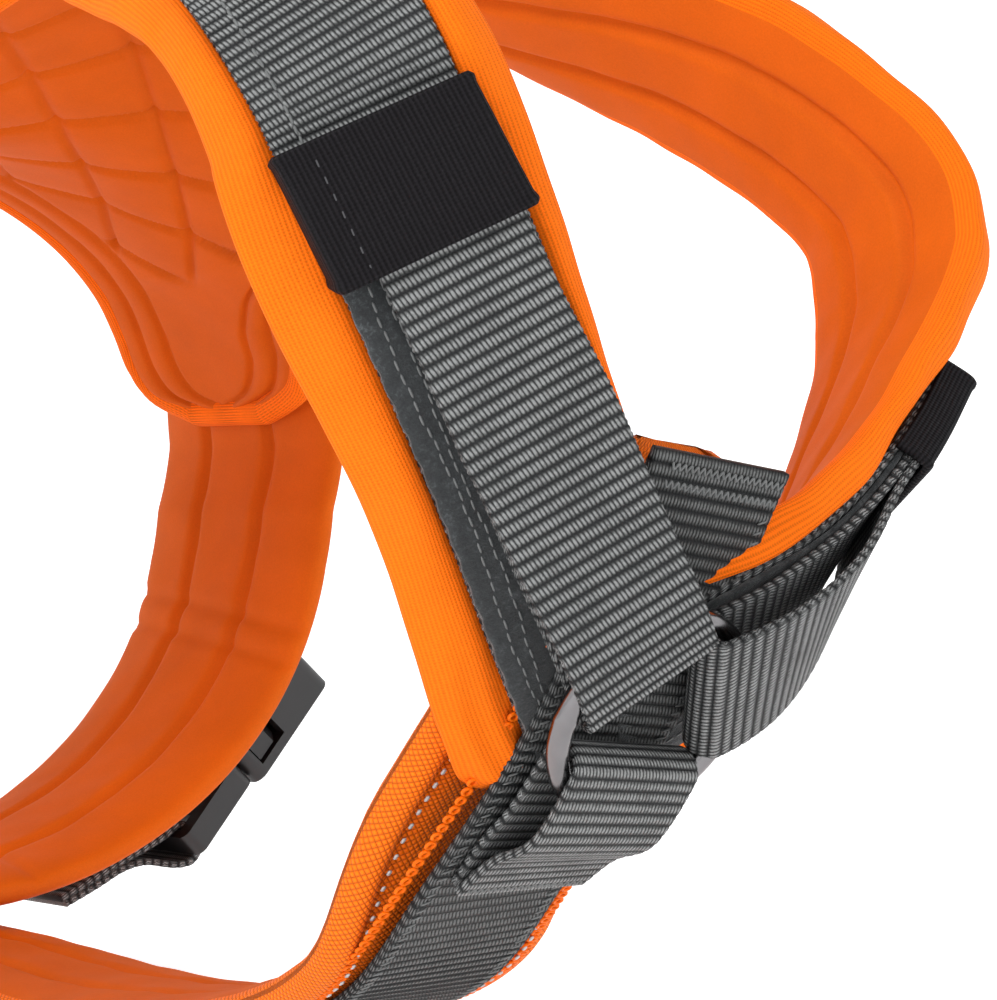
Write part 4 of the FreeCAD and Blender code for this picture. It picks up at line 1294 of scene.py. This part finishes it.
def dim_studio():
    """World light: bright overhead, dim at the sides, as in a room lit by softboxes."""
    world = bpy.data.worlds.new("studio")
    bpy.context.scene.world = world
    world.use_nodes = True
    tree = world.node_tree
    background = tree.nodes["Background"]
    coords = tree.nodes.new("ShaderNodeTexCoord")
    split = tree.nodes.new("ShaderNodeSeparateXYZ")
    ramp = tree.nodes.new("ShaderNodeValToRGB")
    lift = tree.nodes.new("ShaderNodeMath")
    lift.operation = "MULTIPLY_ADD"
    lift.inputs[1].default_value = 0.5
    lift.inputs[2].default_value = 0.5
    ramp.color_ramp.elements[0].position = 0.5
    ramp.color_ramp.elements[0].color = (0.12, 0.12, 0.12, 1)
    ramp.color_ramp.elements[1].position = 0.85
    ramp.color_ramp.elements[1].color = (0.9, 0.9, 0.9, 1)
    tree.links.new(coords.outputs["Generated"], split.inputs[0])
    tree.links.new(split.outputs[2], lift.inputs[0])
    tree.links.new(lift.outputs[0], ramp.inputs[0])
    tree.links.new(ramp.outputs[0], background.inputs[0])
    background.inputs[1].default_value = 0.3


def add_light(name, place, size, power):
    """Square softbox aimed at the middle of the harness."""
    data = bpy.data.lights.new(name, "AREA")
    data.size = size
    data.energy = power
    obj = bpy.data.objects.new(name, data)
    obj.location = place
    aim = Vector(HARNESS_MIDDLE) - Vector(place)
    obj.rotation_euler = aim.to_track_quat("-Z", "Y").to_euler()
    bpy.context.scene.collection.objects.link(obj)


# ---- add-on layout ----
class HarnessColors(bpy.types.PropertyGroup):
    """Colours of the harness"""

    orange: bpy.props.FloatVectorProperty(
        name="Padding", description="Colour of the padding's cover and lining",
        subtype="COLOR", size=3, min=0, max=1, default=(0.84, 0.142, 0.003),
    )
    webbing: bpy.props.FloatVectorProperty(
        name="Webbing", description="Colour of the bright yarn in the webbing",
        subtype="COLOR", size=3, min=0, max=1, default=(0.2, 0.205, 0.205),
    )


class HARNESS_OT_shoulders(bpy.types.Operator):
    """Make both padded shoulder straps"""

    bl_idname = "harness.shoulders"
    bl_label = "Shoulder straps"

    def execute(self, context):
        shoulder("right", RIGHT_SHOULDER, 1)
        shoulder("left", LEFT_SHOULDER, -1)
        return {"FINISHED"}


class HARNESS_OT_chest(bpy.types.Operator):
    """Make the chest pad, its webbing and the ring"""

    bl_idname = "harness.chest"
    bl_label = "Chest piece"

    def execute(self, context):
        chest()
        return {"FINISHED"}


class HARNESS_OT_girth(bpy.types.Operator):
    """Make the belly pad and its webbing"""

    bl_idname = "harness.girth"
    bl_label = "Girth"

    def execute(self, context):
        girth()
        return {"FINISHED"}


class HARNESS_OT_saddle(bpy.types.Operator):
    """Make the saddle, the grab handle and the rear ring's loop"""

    bl_idname = "harness.saddle"
    bl_label = "Saddle"

    def execute(self, context):
        saddle()
        return {"FINISHED"}


class HARNESS_OT_buckles(bpy.types.Operator):
    """Make the side webbing and finish both buckles"""

    bl_idname = "harness.buckles"
    bl_label = "Buckles"

    def execute(self, context):
        for side, turn in (("left", 1), ("right", -1)):
            side_webbing(side, turn)
            buckle(side, turn)
        return {"FINISHED"}


class HARNESS_OT_stage(bpy.types.Operator):
    """Make the floor, the lights and the camera"""

    bl_idname = "harness.stage"
    bl_label = "Stage"

    def execute(self, context):
        stage()
        return {"FINISHED"}


class HARNESS_PT_panel(bpy.types.Panel):
    """Lists the harness makers"""

    bl_idname = "HARNESS_PT_panel"
    bl_label = "Harness"
    bl_space_type = "VIEW_3D"
    bl_region_type = "UI"
    bl_category = "Harness"

    def draw(self, context):
        colors = context.scene.harness_colors
        self.layout.prop(colors, "orange")
        self.layout.prop(colors, "webbing")
        for maker in MAKERS:
            self.layout.operator(maker.bl_idname)


MAKERS = [
    HARNESS_OT_shoulders,
    HARNESS_OT_chest,
    HARNESS_OT_girth,
    HARNESS_OT_saddle,
    HARNESS_OT_buckles,
    HARNESS_OT_stage,
]
CLASSES = [HarnessColors, *MAKERS, HARNESS_PT_panel]


def register():
    for made in CLASSES:
        bpy.utils.register_class(made)
    bpy.types.Scene.harness_colors = bpy.props.PointerProperty(type=HarnessColors)


def unregister():
    del bpy.types.Scene.harness_colors
    for made in reversed(CLASSES):
        bpy.utils.unregister_class(made)


def main():
    """Makes the whole harness and its stage."""
    register()
    make_looks(bpy.context.scene.harness_colors)
    for maker in MAKERS:
        group, action = maker.bl_idname.split(".")
        getattr(getattr(bpy.ops, group), action)()


if __name__ == "__main__":
    main()
